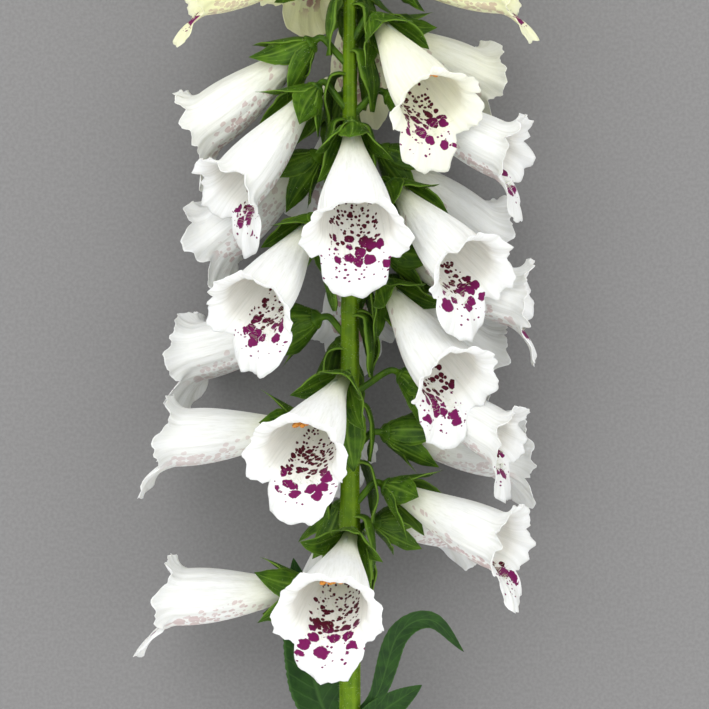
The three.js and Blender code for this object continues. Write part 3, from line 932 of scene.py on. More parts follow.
@dataclass(frozen=True)
class Calyx:
    """A flower's pedicel, cup and five pointed sepals, and the bract below it."""

    flower: Flower
    number: int
    scale: float
    bract: bool = True
    sepal_angles: tuple[float, ...] = (36, 108, 180, 252, 324)
    sepal_long: float = 17.0
    sepal_half: float = 5.4
    sepal_start: float = 0.6
    sepal_thick: float = 0.28
    sepal_keel: float = 0.5
    sepal_wrap: float = 0.6
    sepal_nearest: float = 3.4
    sepal_spreads: tuple[float, float] = (-0.3, 0.7)
    sepal_lengths: tuple[float, float] = (0.84, 1.02)
    sepal_tips: tuple[float, float] = (-0.4, 1.8)
    sepal_tip_from: float = 0.6
    sepal_leans: tuple[float, float] = (-0.3, 0.3)
    sepal_teeth: tuple[int, float] = (7, 0.06)
    sepal_curls: tuple[tuple[float, float], ...] = ((5, 0.55), (12, 0.4), (19, 0.25))
    sepal_rows: int = 18
    sepal_columns: int = 9
    pedicel_radius: float = 1.15
    pedicel_sides: int = 14
    pedicel_rings: int = 14
    pedicel_foot: tuple[float, ...] = (1.5, 1.2, 1.05)
    shoulder: tuple[float, float] = (0.55, 0.9)
    ridges: int = 5
    ridge: float = 0.05
    cup: tuple[float, ...] = (1.25, 1.7, 2.3, 2.9, 3.3, 3.45, 3.2)
    cup_places: tuple[float, float, float] = (-7.0, -3.2, -0.3)
    rise: float = 7.0
    bract_long: float = 21.0
    bract_half: float = 6.2
    bract_out: float = 6.5
    bract_drop: float = 2.5
    bract_thick: float = 0.3
    bract_fold: float = 0.26
    bract_keel: float = 0.5
    bract_sway: float = 4.5
    bract_teeth: tuple[int, float] = (8, 0.07)
    bract_curls: tuple[tuple[float, float], ...] = ((7, 0.7), (13, 0.5))
    bract_rows: int = 22
    bract_columns: int = 7

    def build(self, maker: MeshMaker) -> None:
        """Adds all of it.

        Args:
            maker: the mesh that it joins.
        """
        self.add_pedicel(maker)
        for index, angle in enumerate(self.sepal_angles):
            self.add_sepal(maker, math.radians(angle), index)
        if self.bract:
            self.add_bract(maker)

    def add_pedicel(self, maker: MeshMaker) -> None:
        """Adds the stalk from the stem to the cup, and the cup.

        Args:
            maker: the mesh that they join.
        """
        flower, scale = self.flower, self.scale
        _, _, side = flower.axes()
        root = STEM.point(flower.at - self.rise * scale)
        out, up = self.shoulder
        shoulder = root + flower.outward * flower.reach * out + UP_THE_STEM * self.rise * scale * up
        neck, cup, floor = (flower.place(np.array([d * scale, 0.0, 0.0])) for d in self.cup_places)
        run = bezier((root, shoulder, neck, cup), np.linspace(0, 1, self.pedicel_rings))
        path = np.vstack([run, cup + (floor - cup) * np.linspace(0.15, 1, len(self.cup))[:, None]])
        normal = unit(np.cross(side, unit(np.gradient(path, axis=0))))
        stalk = np.full(self.pedicel_rings, self.pedicel_radius * lagging(scale))
        stalk[: len(self.pedicel_foot)] *= self.pedicel_foot
        radius = np.concatenate([stalk, np.array(self.cup) * scale])
        turn = np.linspace(0, FULL_TURN, self.pedicel_sides, endpoint=False)
        spin = np.cos(turn)[:, None] * normal[:, None] + np.sin(turn)[:, None] * side
        ridged = radius[:, None, None] * (1 + self.ridge * np.cos(self.ridges * turn))[:, None]
        share = np.linspace(0, 1, len(path))[:, None]
        maker.tube(path[:, None] + spin * ridged, leaf=stacked(turn / np.pi - 1, share, self.number * 1.3))

    def add_sepal(self, maker: MeshMaker, angle: float, index: int) -> None:
        """Adds one sepal, wrapped round the base of the corolla.

        Args:
            maker: the mesh that it joins.
            angle: where it stands round the flower, in radians.
            index: its number in the calyx.
        """
        draw = np.random.default_rng(1000 + self.number * 7 + index)
        s = np.linspace(0, 1, self.sepal_rows)
        v = np.linspace(-1, 1, self.sepal_columns)
        spread = self.flower.spread + draw.uniform(*self.sepal_spreads)
        long = self.sepal_long * draw.uniform(*self.sepal_lengths) + self.sepal_start
        outer = np.clip((s - self.sepal_tip_from) / (1 - self.sepal_tip_from), 0, 1)
        tip = draw.uniform(*self.sepal_tips) * outer**2
        away = (SEPAL_STAND.at(s) + spread * SEPAL_SPREAD.at(s) + tip)[:, None]
        form = np.maximum(SEPAL_FORM.at(s), 0.02) * toothed(draw, s, *self.sepal_teeth)
        half = self.sepal_half * form[:, None] * v
        keel = self.sepal_keel * (1 - np.abs(v)) ** 2
        lean = draw.uniform(*self.sepal_leans) * s[:, None] ** 2
        turn = angle + half / np.maximum(away, self.sepal_nearest) * self.sepal_wrap + lean
        curl = ripples(s, self.sepal_curls, draw.uniform(0, 6, 3), (v**2, v * np.abs(v), v**2))
        middle = away + (keel + curl * np.minimum(1, 2.5 * s)[:, None]) * form[:, None]
        along = long * s[:, None] - self.sepal_start + keel * 0.3
        faces = []
        for way in (1, -1):
            radial = middle + way * self.sepal_thick * np.minimum(1, 4 - 4 * s)[:, None]
            flat = half * (1 - self.sepal_wrap)
            low = np.cos(turn) * radial - np.sin(turn) * flat
            right = np.sin(turn) * radial + np.cos(turn) * flat
            faces.append(self.flower.place(stacked(along, low, right) * self.scale))
        maker.shell(faces[0], faces[1], stacked(v, s[:, None], self.number * 5.0 + index))

    def add_bract(self, maker: MeshMaker) -> None:
        """Adds the narrow leaf below the pedicel.

        Args:
            maker: the mesh that it joins.
        """
        outward = self.flower.outward
        side = np.cross(UP_THE_STEM, outward)
        draw = np.random.default_rng(3000 + self.number)
        start = self.flower.at - (self.rise + self.bract_drop) * self.scale
        long, reach = self.bract_long * self.scale, self.bract_out * self.scale
        sway = side * draw.uniform(-self.bract_sway, self.bract_sway) * self.scale

        def at(out: float, down: float) -> np.ndarray:
            """A place out from the stem and down along it."""
            return STEM.point(start - down) + outward * out + sway * (max(down, 0.0) / long) ** 1.5

        places = (
            (1, 0), (reach * 0.55, -0.6), (reach + 0.6, 1.4), (reach + 2.2, long * 0.5), (reach + 0.9, long)
        )
        s = np.linspace(0, 1, self.bract_rows)
        v = np.linspace(-1, 1, self.bract_columns)
        path = through(np.array([at(out, down) for out, down in places]), s)
        normal = unit(np.cross(unit(np.gradient(path, axis=0)), side))
        normal *= np.sign((normal * (outward + UP_THE_STEM)).sum(axis=1, keepdims=True) + 1e-6)
        form = np.maximum(BRACT_FORM.at(s), 0.03) * toothed(draw, s, *self.bract_teeth)
        across = self.bract_half * self.scale * form[:, None] * v
        curl = ripples(s, self.bract_curls, draw.uniform(0, 6, 2), (v**2, v * np.abs(v))) * s[:, None]
        fold = self.bract_fold * self.bract_half * form[:, None] * v**2
        bend = curl - fold - self.bract_keel * (1 - np.abs(v)) ** 3
        middle = path[:, None] + side * across[..., None]
        faces = [
            middle + normal[:, None] * (bend + way * self.bract_thick)[..., None] for way in (1, -1)
        ]
        maker.shell(faces[0], faces[1], stacked(v, s[:, None], self.number * 2.1))


BUD_KNOTS = (0, 0.06, 0.2, 0.45, 0.7, 0.88, 0.97, 1)
BUD_SWELL = (0.25, 0.5, 0.72, 0.97, 0.98, 0.78, 0.45, 0.12)
"""How thick a bud is along its length."""


@dataclass(frozen=True)
class Bud:
    """A closed bud: five folded lobes that meet at a blunt tip. Green ones sit in their own small calyx."""

    flower: Flower
    number: int
    green: bool
    plan: BudPlan = BUD_PLAN
    lobes: int = 5
    pleat: float = 0.07
    pleat_from: float = 0.35
    bow: float = 0.06
    flatness: float = 0.88
    rings: int = 30
    sides: int = 40

    def build(self, maker: MeshMaker) -> None:
        """Adds the bud.

        Args:
            maker: the mesh that it joins.
        """
        long = self.flower.long
        start = -self.flower.reach if self.green else 0.0
        s = np.linspace(0, 1, self.rings)
        swell = np.interp(s, BUD_KNOTS, BUD_SWELL)
        turn = np.linspace(0, FULL_TURN, self.sides, endpoint=False)
        folded = np.clip((s - self.pleat_from) * 2, 0, 1)[:, None]
        pleat = 1 - self.pleat * np.abs(np.cos(self.lobes / 2 * turn)) * folded
        radius = long * self.plan.round * swell[:, None] * pleat
        along = (start + (long - start) * s)[:, None]
        bow = self.bow * long * np.sin(np.pi * s)[:, None]
        low = np.cos(turn) * radius * self.flatness + bow
        places = self.flower.place(stacked(along, low, np.sin(turn) * radius))
        seed = SEED_STEP * self.number
        if self.green:
            maker.tube(places, leaf=stacked(turn / np.pi - 1, s[:, None], seed))
            return
        maker.tube(
            places,
            petal=np.array([seed, 0.0, 0.0]),
            ring=stacked(np.cos(turn) * radius, np.sin(turn) * radius, along),
            age=np.array([0.0, 1.0, 0.0]),
        )


@dataclass(frozen=True)
class LeafPlan:
    """One leaf of the lower stem: its joint, blade and midrib, whose z is from the surface."""

    at: float
    blade: Blade
    path: tuple[tuple[float, float, float], ...]
    rests: bool = False


LEAVES = (
    LeafPlan(47, Blade(9, 0.35), ((0, 0, 38), (-9, 8, 33), (-14, 28, 30), (-19, 58, 34))),
    LeafPlan(52, Blade(3.7, 0.45), ((0, 0, 39), (9, 8, 43), (16, 28, 46), (27, 33, 46), (38, 22, 41))),
    LeafPlan(44, Blade(5, 0.4), ((0, 0, 39), (9, 9, 42), (24, 19, 41))),
    LeafPlan(20, Blade(11, 0.55), ((0, 0, 36), (14, 2, 27), (28, -2, 8), (44, -8, 0), (62, -14, 0)), True),
    LeafPlan(
        30, Blade(10, 0.55), ((0, 0, 37), (-14, -2, 29), (-27, -9, 9), (-40, -18, 0), (-56, -28, 0)), True
    ),
)


def green_piece(maker: MeshMaker, finish: bpy.types.Material) -> bpy.types.Object:
    """Makes one of the pieces that take the place of the one green solid.

    Args:
        maker: what the piece is made of.
        finish: its material.

    Returns:
        The new object.
    """
    piece = maker.build(finish, "leaf_green")
    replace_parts(piece, "leafy_stem")
    return piece


@dataclass(frozen=True)
class Greenery:
    """The stem and all that is green on it, in place of the one green solid."""

    stem_sides: int = 40
    stem_rings: int = 150
    ridges: int = 6
    ridge: float = 0.05
    ridge_twist: float = 0.004
    joint_drop: float = 8.5
    joint_swell: float = 0.09
    joint_half: float = 2.5
    blunt_end: float = 5.0
    first_bud: int = 50
    first_green_bud: int = 60

    def build_stem(self, finish: bpy.types.Material) -> bpy.types.Object:
        """Makes the ridged stem with its small swellings where the pedicels leave.

        Args:
            finish: its material.

        Returns:
            The new object.
        """
        maker = MeshMaker("stem")
        along = np.linspace(0, STEM.length, self.stem_rings)[:, None]
        turn = np.linspace(0, FULL_TURN, self.stem_sides, endpoint=False)
        middle = np.array([STEM.point(a) for a in along[:, 0]])
        radius = np.array([STEM.radius(a) for a in along[:, 0]])[:, None]
        joints = np.array([flower.at - self.joint_drop for flower in FLOWERS])
        knots = self.joint_swell * np.exp(-(((along - joints) / self.joint_half) ** 2)).max(axis=1)[:, None]
        grooves = self.ridge * np.cos(self.ridges * turn + self.ridge_twist * along)
        blunt = np.sqrt(np.clip((STEM.length - along) / self.blunt_end, 0.08, 1))
        size = radius * blunt * (1 + knots + grooves)
        rings = middle[:, None] + stacked(np.cos(turn) * size, 0.0, np.sin(turn) * size)
        maker.tube(rings, leaf=stacked(turn / np.pi - 1, along / STEM.length, 0.0))
        return green_piece(maker, finish)

    def build_sepals(self, finish: bpy.types.Material) -> bpy.types.Object:
        """Makes the pedicel and calyx of each flower and of each pale bud, and the bract of each flower.

        Args:
            finish: its material.

        Returns:
            The new object.
        """
        maker = MeshMaker("sepals")
        for number, flower in enumerate(FLOWERS, start=1):
            Calyx(flower, number, flower.scale).build(maker)
        for number, flower in enumerate(BUD_PLAN.flowers()[: BUD_PLAN.pale], start=self.first_bud):
            scale = flower.long / BUD_PLAN.longest * BUD_PLAN.calyx
            Calyx(flower, number, scale, bract=False).build(maker)
        return green_piece(maker, finish)

    def build_leaves(self, finish: bpy.types.Material) -> bpy.types.Object:
        """Makes the leaves of the lower stem.

        Args:
            finish: its material.

        Returns:
            The new object.
        """
        maker = MeshMaker("leaves")
        for seed, plan in enumerate(LEAVES, start=1):
            joint = STEM.point(plan.at) * (1, 1, 0)
            plan.blade.build(maker, joint + np.array(plan.path, dtype=float), seed, plan.rests)
        return green_piece(maker, finish)

    def build_tip(self, finish: bpy.types.Material) -> bpy.types.Object:
        """Makes the green buds of the tip, each shut in its own sepals, and the smaller ones between them.

        Args:
            finish: its material.

        Returns:
            The new object.
        """
        maker = MeshMaker("tip_buds")
        known = [(flower, BUD_PLAN) for flower in BUD_PLAN.flowers()[BUD_PLAN.pale :]]
        small = [(flower, TIP_PLAN) for flower in TIP_PLAN.flowers()]
        for number, (flower, plan) in enumerate(known + small, start=self.first_green_bud):
            shut = replace(flower, spread=-1.5)
            scale = flower.long / BUD_PLAN.longest
            Bud(flower, number, True, plan, rings=16, sides=24).build(maker)
            Calyx(shut, number, scale, sepal_rows=10, sepal_columns=5).build(maker)
        return green_piece(maker, finish)


# Shader tools


class Value:
    """A number that varies over a surface, as the socket that gives it."""

    def __init__(self, tree: "ShaderTree", socket: bpy.types.NodeSocket) -> None:
        """Wraps a socket of a tree."""
        self.tree = tree
        self.socket = socket

    def __add__(self, other: "Value | float") -> "Value":
        """The sum."""
        return self.tree.math("ADD", self, other)

    __radd__ = __add__

    def __sub__(self, other: "Value | float") -> "Value":
        """The difference."""
        return self.tree.math("SUBTRACT", self, other)

    def __rsub__(self, other: float) -> "Value":
        """The difference from a number."""
        return self.tree.math("SUBTRACT", other, self)

    def __mul__(self, other: "Value | float") -> "Value":
        """The product."""
        return self.tree.math("MULTIPLY", self, other)

    __rmul__ = __mul__

    def size(self) -> "Value":
        """The value without its sign."""
        return self.tree.math("ABSOLUTE", self)

    def power(self, exponent: float) -> "Value":
        """The value to a power."""
        return self.tree.math("POWER", self, exponent)

    def larger(self, other: "Value | float") -> "Value":
        """The larger of two."""
        return self.tree.math("MAXIMUM", self, other)

    def ramp(self, low: float, high: float) -> "Value":
        """A smooth step between two values, which falls where the second is the smaller.

        Args:
            low: where it is 0.
            high: where it is 1.

        Returns:
            The step.
        """
        settings = {"interpolation_type": "SMOOTHSTEP"}
        start, end = (low, high) if low < high else (high, low)
        node = self.tree.node("ShaderNodeMapRange", settings, {0: self, 1: start, 2: end, 3: 0.0, 4: 1.0})
        rising = Value(self.tree, node.outputs[0])
        return rising if low < high else 1 - rising

    def band(self, start: float, end: float, soft: float) -> "Value":
        """One between two values and none beyond them, with soft ends."""
        return self.ramp(start - soft, start + soft) * self.ramp(end + soft, end - soft)


def make_node(
    tree: bpy.types.NodeTree, kind: str, settings: dict[str, object], inputs: dict[int | str, object]
) -> bpy.types.Node:
    """Makes a node.

    Args:
        tree: where it goes.
        kind: its type.
        settings: its own settings, made first.
        inputs: values, colours, numbers or links of its sockets, by name or place.

    Returns:
        The node.
    """
    node = tree.nodes.new(kind)
    for key, value in settings.items():
        setattr(node, key, value)
    for key, value in inputs.items():
        feed(tree, node.inputs[key], value)
    return node


def feed(tree: bpy.types.NodeTree, socket: bpy.types.NodeSocket, value: object) -> None:
    """Links a value to a socket, or sets it there.

    Args:
        tree: the tree of both.
        socket: an input socket.
        value: what it gets. A colour gets its fourth number here.
    """
    if isinstance(value, Value):
        tree.links.new(value.socket, socket)
    elif isinstance(value, bpy.types.NodeSocket):
        tree.links.new(value, socket)
    elif isinstance(value, tuple) and len(value) == 3 and len(socket.default_value) == 4:
        socket.default_value = (*value, 1.0)
    else:
        socket.default_value = value


class ShaderTree:
    """Builds one material's nodes."""

    def __init__(self, name: str) -> None:
        """Starts a material with its output and a Principled shader.

        Args:
            name: the material's name.
        """
        self.material = bpy.data.materials.new(name)
        self.material.use_nodes = True
        self.tree = self.material.node_tree
        self.tree.nodes.clear()
        self.shader = self.node("ShaderNodeBsdfPrincipled", {}, {})
        self.node("ShaderNodeOutputMaterial", {}, {"Surface": self.shader.outputs[0]})

    def node(self, kind: str, settings: dict[str, object], inputs: dict[int | str, object]) -> bpy.types.Node:
        """Makes a node of this material."""
        return make_node(self.tree, kind, settings, inputs)

    def math(self, operation: str, *values: "Value | float") -> Value:
        """One Math node."""
        node = self.node("ShaderNodeMath", {"operation": operation}, dict(enumerate(values)))
        return Value(self, node.outputs[0])

    def attribute(self, name: str) -> bpy.types.NodeSocket:
        """A vector attribute of the mesh."""
        return self.node("ShaderNodeAttribute", {"attribute_name": name}, {}).outputs["Vector"]

    def place(self) -> bpy.types.NodeSocket:
        """The place on the object."""
        return self.node("ShaderNodeTexCoord", {}, {}).outputs["Object"]

    def parts(self, vector: bpy.types.NodeSocket) -> tuple[Value, Value, Value]:
        """The three numbers of a vector or colour."""
        node = self.node("ShaderNodeSeparateXYZ", {}, {0: vector})
        return tuple(Value(self, socket) for socket in node.outputs)

    def vector(self, operation: str, *values: object) -> bpy.types.NodeSocket:
        """One Vector Math node."""
        node = self.node("ShaderNodeVectorMath", {"operation": operation}, dict(enumerate(values)))
        return node.outputs[0]

    def noise(self, vector: bpy.types.NodeSocket, scale: float, detail: float = 2.0) -> bpy.types.Node:
        """A noise texture."""
        return self.node("ShaderNodeTexNoise", {}, {"Vector": vector, "Scale": scale, "Detail": detail})

    def grain(
        self, vector: bpy.types.NodeSocket, scale: float | tuple[float, float, float], detail: float = 2.0
    ) -> Value:
        """A noise as a value.

        Args:
            vector: the place on the surface.
            scale: its fineness, or one for each direction.
            detail: its finer layers.

        Returns:
            The noise.
        """
        if isinstance(scale, tuple):
            vector = self.vector("MULTIPLY", vector, scale)
            scale = 1.0
        return Value(self, self.noise(vector, scale, detail).outputs[0])

    def mix(self, share: Value | float, first: object, second: object) -> bpy.types.NodeSocket:
        """A colour between two."""
        return self.node("ShaderNodeMix", {"data_type": "RGBA"}, {0: share, 6: first, 7: second}).outputs[2]

    def bump(self, height: Value, strength: float, distance: float) -> bpy.types.NodeSocket:
        """A normal that follows a height."""
        inputs = {"Height": height, "Strength": strength, "Distance": distance}
        return self.node("ShaderNodeBump", {}, inputs).outputs[0]

    def finish(self, **inputs: object) -> bpy.types.Material:
        """Sets the shader's sockets, whose names are written with underscores for spaces.

        Args:
            inputs: what each socket gets.

        Returns:
            The material.
        """
        for key, value in inputs.items():
            feed(self.tree, self.shader.inputs[key.replace("_", " ")], value)
        return self.material


# Finishes


@dataclass(frozen=True)
class SpotRule:
    """One kind of mark on a petal, in millimetres along it from the base and round from its lower middle.

    The radius is a share of the cell and the share is that of the cells which have a mark. The smallest is
    how far a mark's radius may shrink, and the spread is how much larger the largest are.
    """

    cell: float
    radius: float
    share: float
    start: float
    end: float
    half: float
    lobed: float
    rim: float = 0.03
    smallest: float = 0.72
    spread: float = 0.5
    wander: float = 0.62
    scatter: float = 0.85

    def marks(self, tree: ShaderTree, petal: bpy.types.NodeSocket) -> Value:
        """The marks over a petal.

        Args:
            tree: the material's nodes.
            petal: the place on the petal.

        Returns:
            One inside a mark and none outside.
        """
        warp = tree.noise(petal, self.wander, 1.5).outputs["Color"]
        moved = tree.vector("MULTIPLY_ADD", warp, (self.lobed,) * 3, petal)
        moved = tree.vector("SUBTRACT", moved, (self.lobed / 2,) * 3)
        scaled = tree.vector("MULTIPLY", moved, (1 / self.cell,) * 3)
        layout = {"Vector": scaled, "Scale": 1.0, "Randomness": self.scatter}
        cells = tree.node("ShaderNodeTexVoronoi", {}, layout)
        chance, size, _ = tree.parts(cells.outputs["Color"])
        centre_round, centre_along, _ = tree.parts(cells.outputs["Position"])
        radius = (size * self.spread + self.smallest) * self.radius
        mark = (radius - Value(tree, cells.outputs["Distance"])).ramp(-self.rim, self.rim)
        soft = self.cell / 2
        zone = (centre_along * self.cell).band(self.start, self.end, soft)
        sides = (centre_round * self.cell).size().ramp(self.half + soft, self.half - soft)
        return mark * (zone * sides - chance * 0.999 + (self.share - 1.0)).ramp(-0.002, 0.0)


@dataclass(frozen=True)
class PetalFinish:
    """A soft white petal: veined, cream at the base and in the young, spotted inside on its lower side.

    The numbers after the marks are the shares of the veins and of the other colours, how strongly the veil
    of marks shows on the outside, and the depths of the relief and of the light's way, in metres.
    """

    white: Colour = (0.77, 0.78, 0.765)
    inner: Colour = (0.79, 0.79, 0.745)
    cream: Colour = (0.79, 0.79, 0.38)
    green: Colour = (0.55, 0.62, 0.22)
    vein: Colour = (0.58, 0.59, 0.54)
    maroon: Colour = (0.075, 0.0, 0.010)
    magenta: Colour = (0.15, 0.0, 0.075)
    mauve: Colour = (0.40, 0.20, 0.20)
    throat: SpotRule = SpotRule(cell=1.6, radius=0.37, share=0.82, start=18, end=38, half=9, lobed=0.3)
    middle: SpotRule = SpotRule(cell=2.4, radius=0.44, share=0.82, start=29, end=45, half=9.5, lobed=0.7)
    blotch: SpotRule = SpotRule(cell=4.0, radius=0.53, share=0.92, start=38.5, end=53, half=9.8, lobed=1.8)
    veil: SpotRule = SpotRule(cell=2.9, radius=0.4, share=0.72, start=12, end=43, half=13.5, lobed=1.3)
    margin: SpotRule = SpotRule(cell=1.5, radius=0.25, share=0.8, start=47, end=56, half=10.5, lobed=0.2)
    fibre: float = 0.26
    rib: float = 0.22
    young_cream: float = 0.8
    base_cream: float = 0.38
    base_green: float = 0.7
    faded: float = 0.7
    relief: float = 0.0007
    scatter: float = 0.0006

    def build(self) -> bpy.types.Material:
        """Makes its nodes.

        Returns:
            The material.
        """
        tree = ShaderTree("petal")
        ring = tree.attribute("ring")
        low, right, along = tree.parts(ring)
        seed, sheer, _ = tree.parts(tree.attribute("petal"))
        inside, young, over = tree.parts(tree.attribute("age"))
        radius = (low * low + right * right).power(0.5)
        around = tree.math("ARCTAN2", right, low) * radius
        petal = tree.node("ShaderNodeCombineXYZ", {}, {0: around, 1: along, 2: seed}).outputs[0]
        small = self.throat.marks(tree, petal).larger(self.middle.marks(tree, petal))
        large = self.blotch.marks(tree, petal).larger(self.margin.marks(tree, petal))
        veiled = small.larger(large).larger(self.veil.marks(tree, petal) * self.faded)
        fibres = tree.grain(ring, (1.5, 1.5, 0.05), 3)
        ribs = tree.grain(ring, (0.5, 0.5, 0.012))
        pucker = tree.grain(ring, (0.9, 0.9, 0.5))
        old = tree.grain(ring, (0.12, 0.12, 0.06)).ramp(0.35, 0.75)
        tube = over.ramp(0.5, 0.0)
        outside = 1 - inside
        skin = tree.mix(inside * tube, self.white, self.inner)
        veins = fibres.ramp(0.45, 0.7) * self.fibre + ribs.ramp(0.5, 0.6) * self.rib
        skin = tree.mix(veins, skin, self.vein)
        creamy = young * self.young_cream + along.ramp(30, 4) * self.base_cream
        skin = tree.mix(creamy * (1 - old * 0.3), skin, self.cream)
        skin = tree.mix(along.ramp(12, 1) * self.base_green, skin, self.green)
        skin = tree.mix(outside * veiled * sheer * (old * 0.25 + 0.6) * tube, skin, self.mauve)
        skin = tree.mix(small * inside, skin, self.maroon)
        skin = tree.mix(large * inside, skin, tree.mix(along.ramp(38, 46), self.maroon, self.magenta))
        height = fibres * 0.5 + ribs * 0.6 + pucker * over.ramp(0.0, 0.8) * 0.5
        return tree.finish(
            Base_Color=skin,
            Roughness=0.7 - fibres.ramp(0.3, 0.8) * 0.14,
            Normal=tree.bump(height, 0.45, self.relief),
            Subsurface_Weight=0.6,
            Subsurface_Radius=(1.0, 0.95, 0.85),
            Subsurface_Scale=self.scatter,
            Sheen_Weight=0.06,
            Sheen_Roughness=0.4,
            Specular_IOR_Level=0.2,
        )


@dataclass(frozen=True)
class GreenFinish:
    """A soft leaf skin: veined, blotched a little, lighter at its rim."""

    name: str
    dark: Colour
    light: Colour
    vein: Colour
    side_veins: float = 0.0
    long_veins: float = 0.0
    cut: Colour = (0.36, 0.46, 0.16)
    veined: float = 0.55
    rim: float = 0.5
    side_vein_count: int = 13
    long_vein_turn: float = 18
    relief: float = 0.0005

    def build(self) -> bpy.types.Material:
        """Makes its nodes.

        Returns:
            The material.
        """
        tree = ShaderTree(self.name)
        across, along, seed = tree.parts(tree.attribute("leaf"))
        side = across.size()
        place = tree.place()
        cloud = tree.grain(place, 260.0, 3)
        grain = tree.grain(place, 2600.0)
        run = along * self.side_vein_count - side * 1.6 + seed * 0.37
        sides = tree.math("SINE", run * math.tau).ramp(0.8, 1.0) * self.side_veins
        lines = tree.math("SINE", across * self.long_vein_turn).ramp(0.4, 1.0) * self.long_veins
        veins = side.ramp(0.12, 0.0).larger(sides).larger(lines)
        skin = tree.mix(cloud.ramp(0.3, 0.7) * 0.8 + grain * 0.2, self.dark, self.light)
        skin = tree.mix(veins * self.veined, skin, self.vein)
        skin = tree.mix(side.ramp(0.86, 1.0) * self.rim, skin, self.vein)
        skin = tree.mix(along.ramp(0.0004, 0.0) * 0.8, skin, self.cut)
        return tree.finish(
            Base_Color=skin,
            Roughness=0.5 + grain * 0.2,
            Normal=tree.bump(grain * 0.25 - veins * 0.5 + cloud * 0.3, 0.4, self.relief),
            Subsurface_Weight=0.12,
            Subsurface_Radius=(0.6, 1.0, 0.3),
            Subsurface_Scale=0.0012,
            Specular_IOR_Level=0.22,
        )


SEPAL_SKIN = GreenFinish(
    "sepal", (0.014, 0.050, 0.001), (0.066, 0.150, 0.003), (0.17, 0.29, 0.03), long_veins=0.35
)
STEM_SKIN = GreenFinish(
    "stem_skin", (0.062, 0.135, 0.001), (0.12, 0.22, 0.001), (0.20, 0.32, 0.008), long_veins=0.35
)
LEAF_SKIN = GreenFinish(
    "leaf", (0.007, 0.032, 0.004), (0.018, 0.066, 0.006), (0.05, 0.125, 0.02), side_veins=0.45
)


def anther_finish() -> bpy.types.Material:
    """Pale stalks and orange anthers, speckled with maroon.

    Returns:
        The material.
    """
    tree = ShaderTree("anther")
    kind, _, _ = tree.parts(tree.attribute("kind"))
    speckle = tree.grain(tree.place(), 1900.0)
    pollen = tree.mix(speckle.ramp(0.52, 0.62) * 0.75, (0.72, 0.30, 0.04), (0.30, 0.07, 0.02))
    return tree.finish(
        Base_Color=tree.mix(kind, (0.80, 0.80, 0.66), pollen),
        Roughness=0.55 + speckle * 0.3,
        Normal=tree.bump(speckle, 0.5, 0.0003),
        Subsurface_Weight=0.2,
        Subsurface_Scale=0.001,
    )


def hair_finish() -> bpy.types.Material:
    """Fine white down.

    Returns:
        The material.
    """
    tree = ShaderTree("down")
    tone = tree.grain(tree.place(), 900.0)
    return tree.finish(Base_Color=tree.mix(tone, (0.45, 0.52, 0.30), (0.66, 0.69, 0.52)), Roughness=0.5)


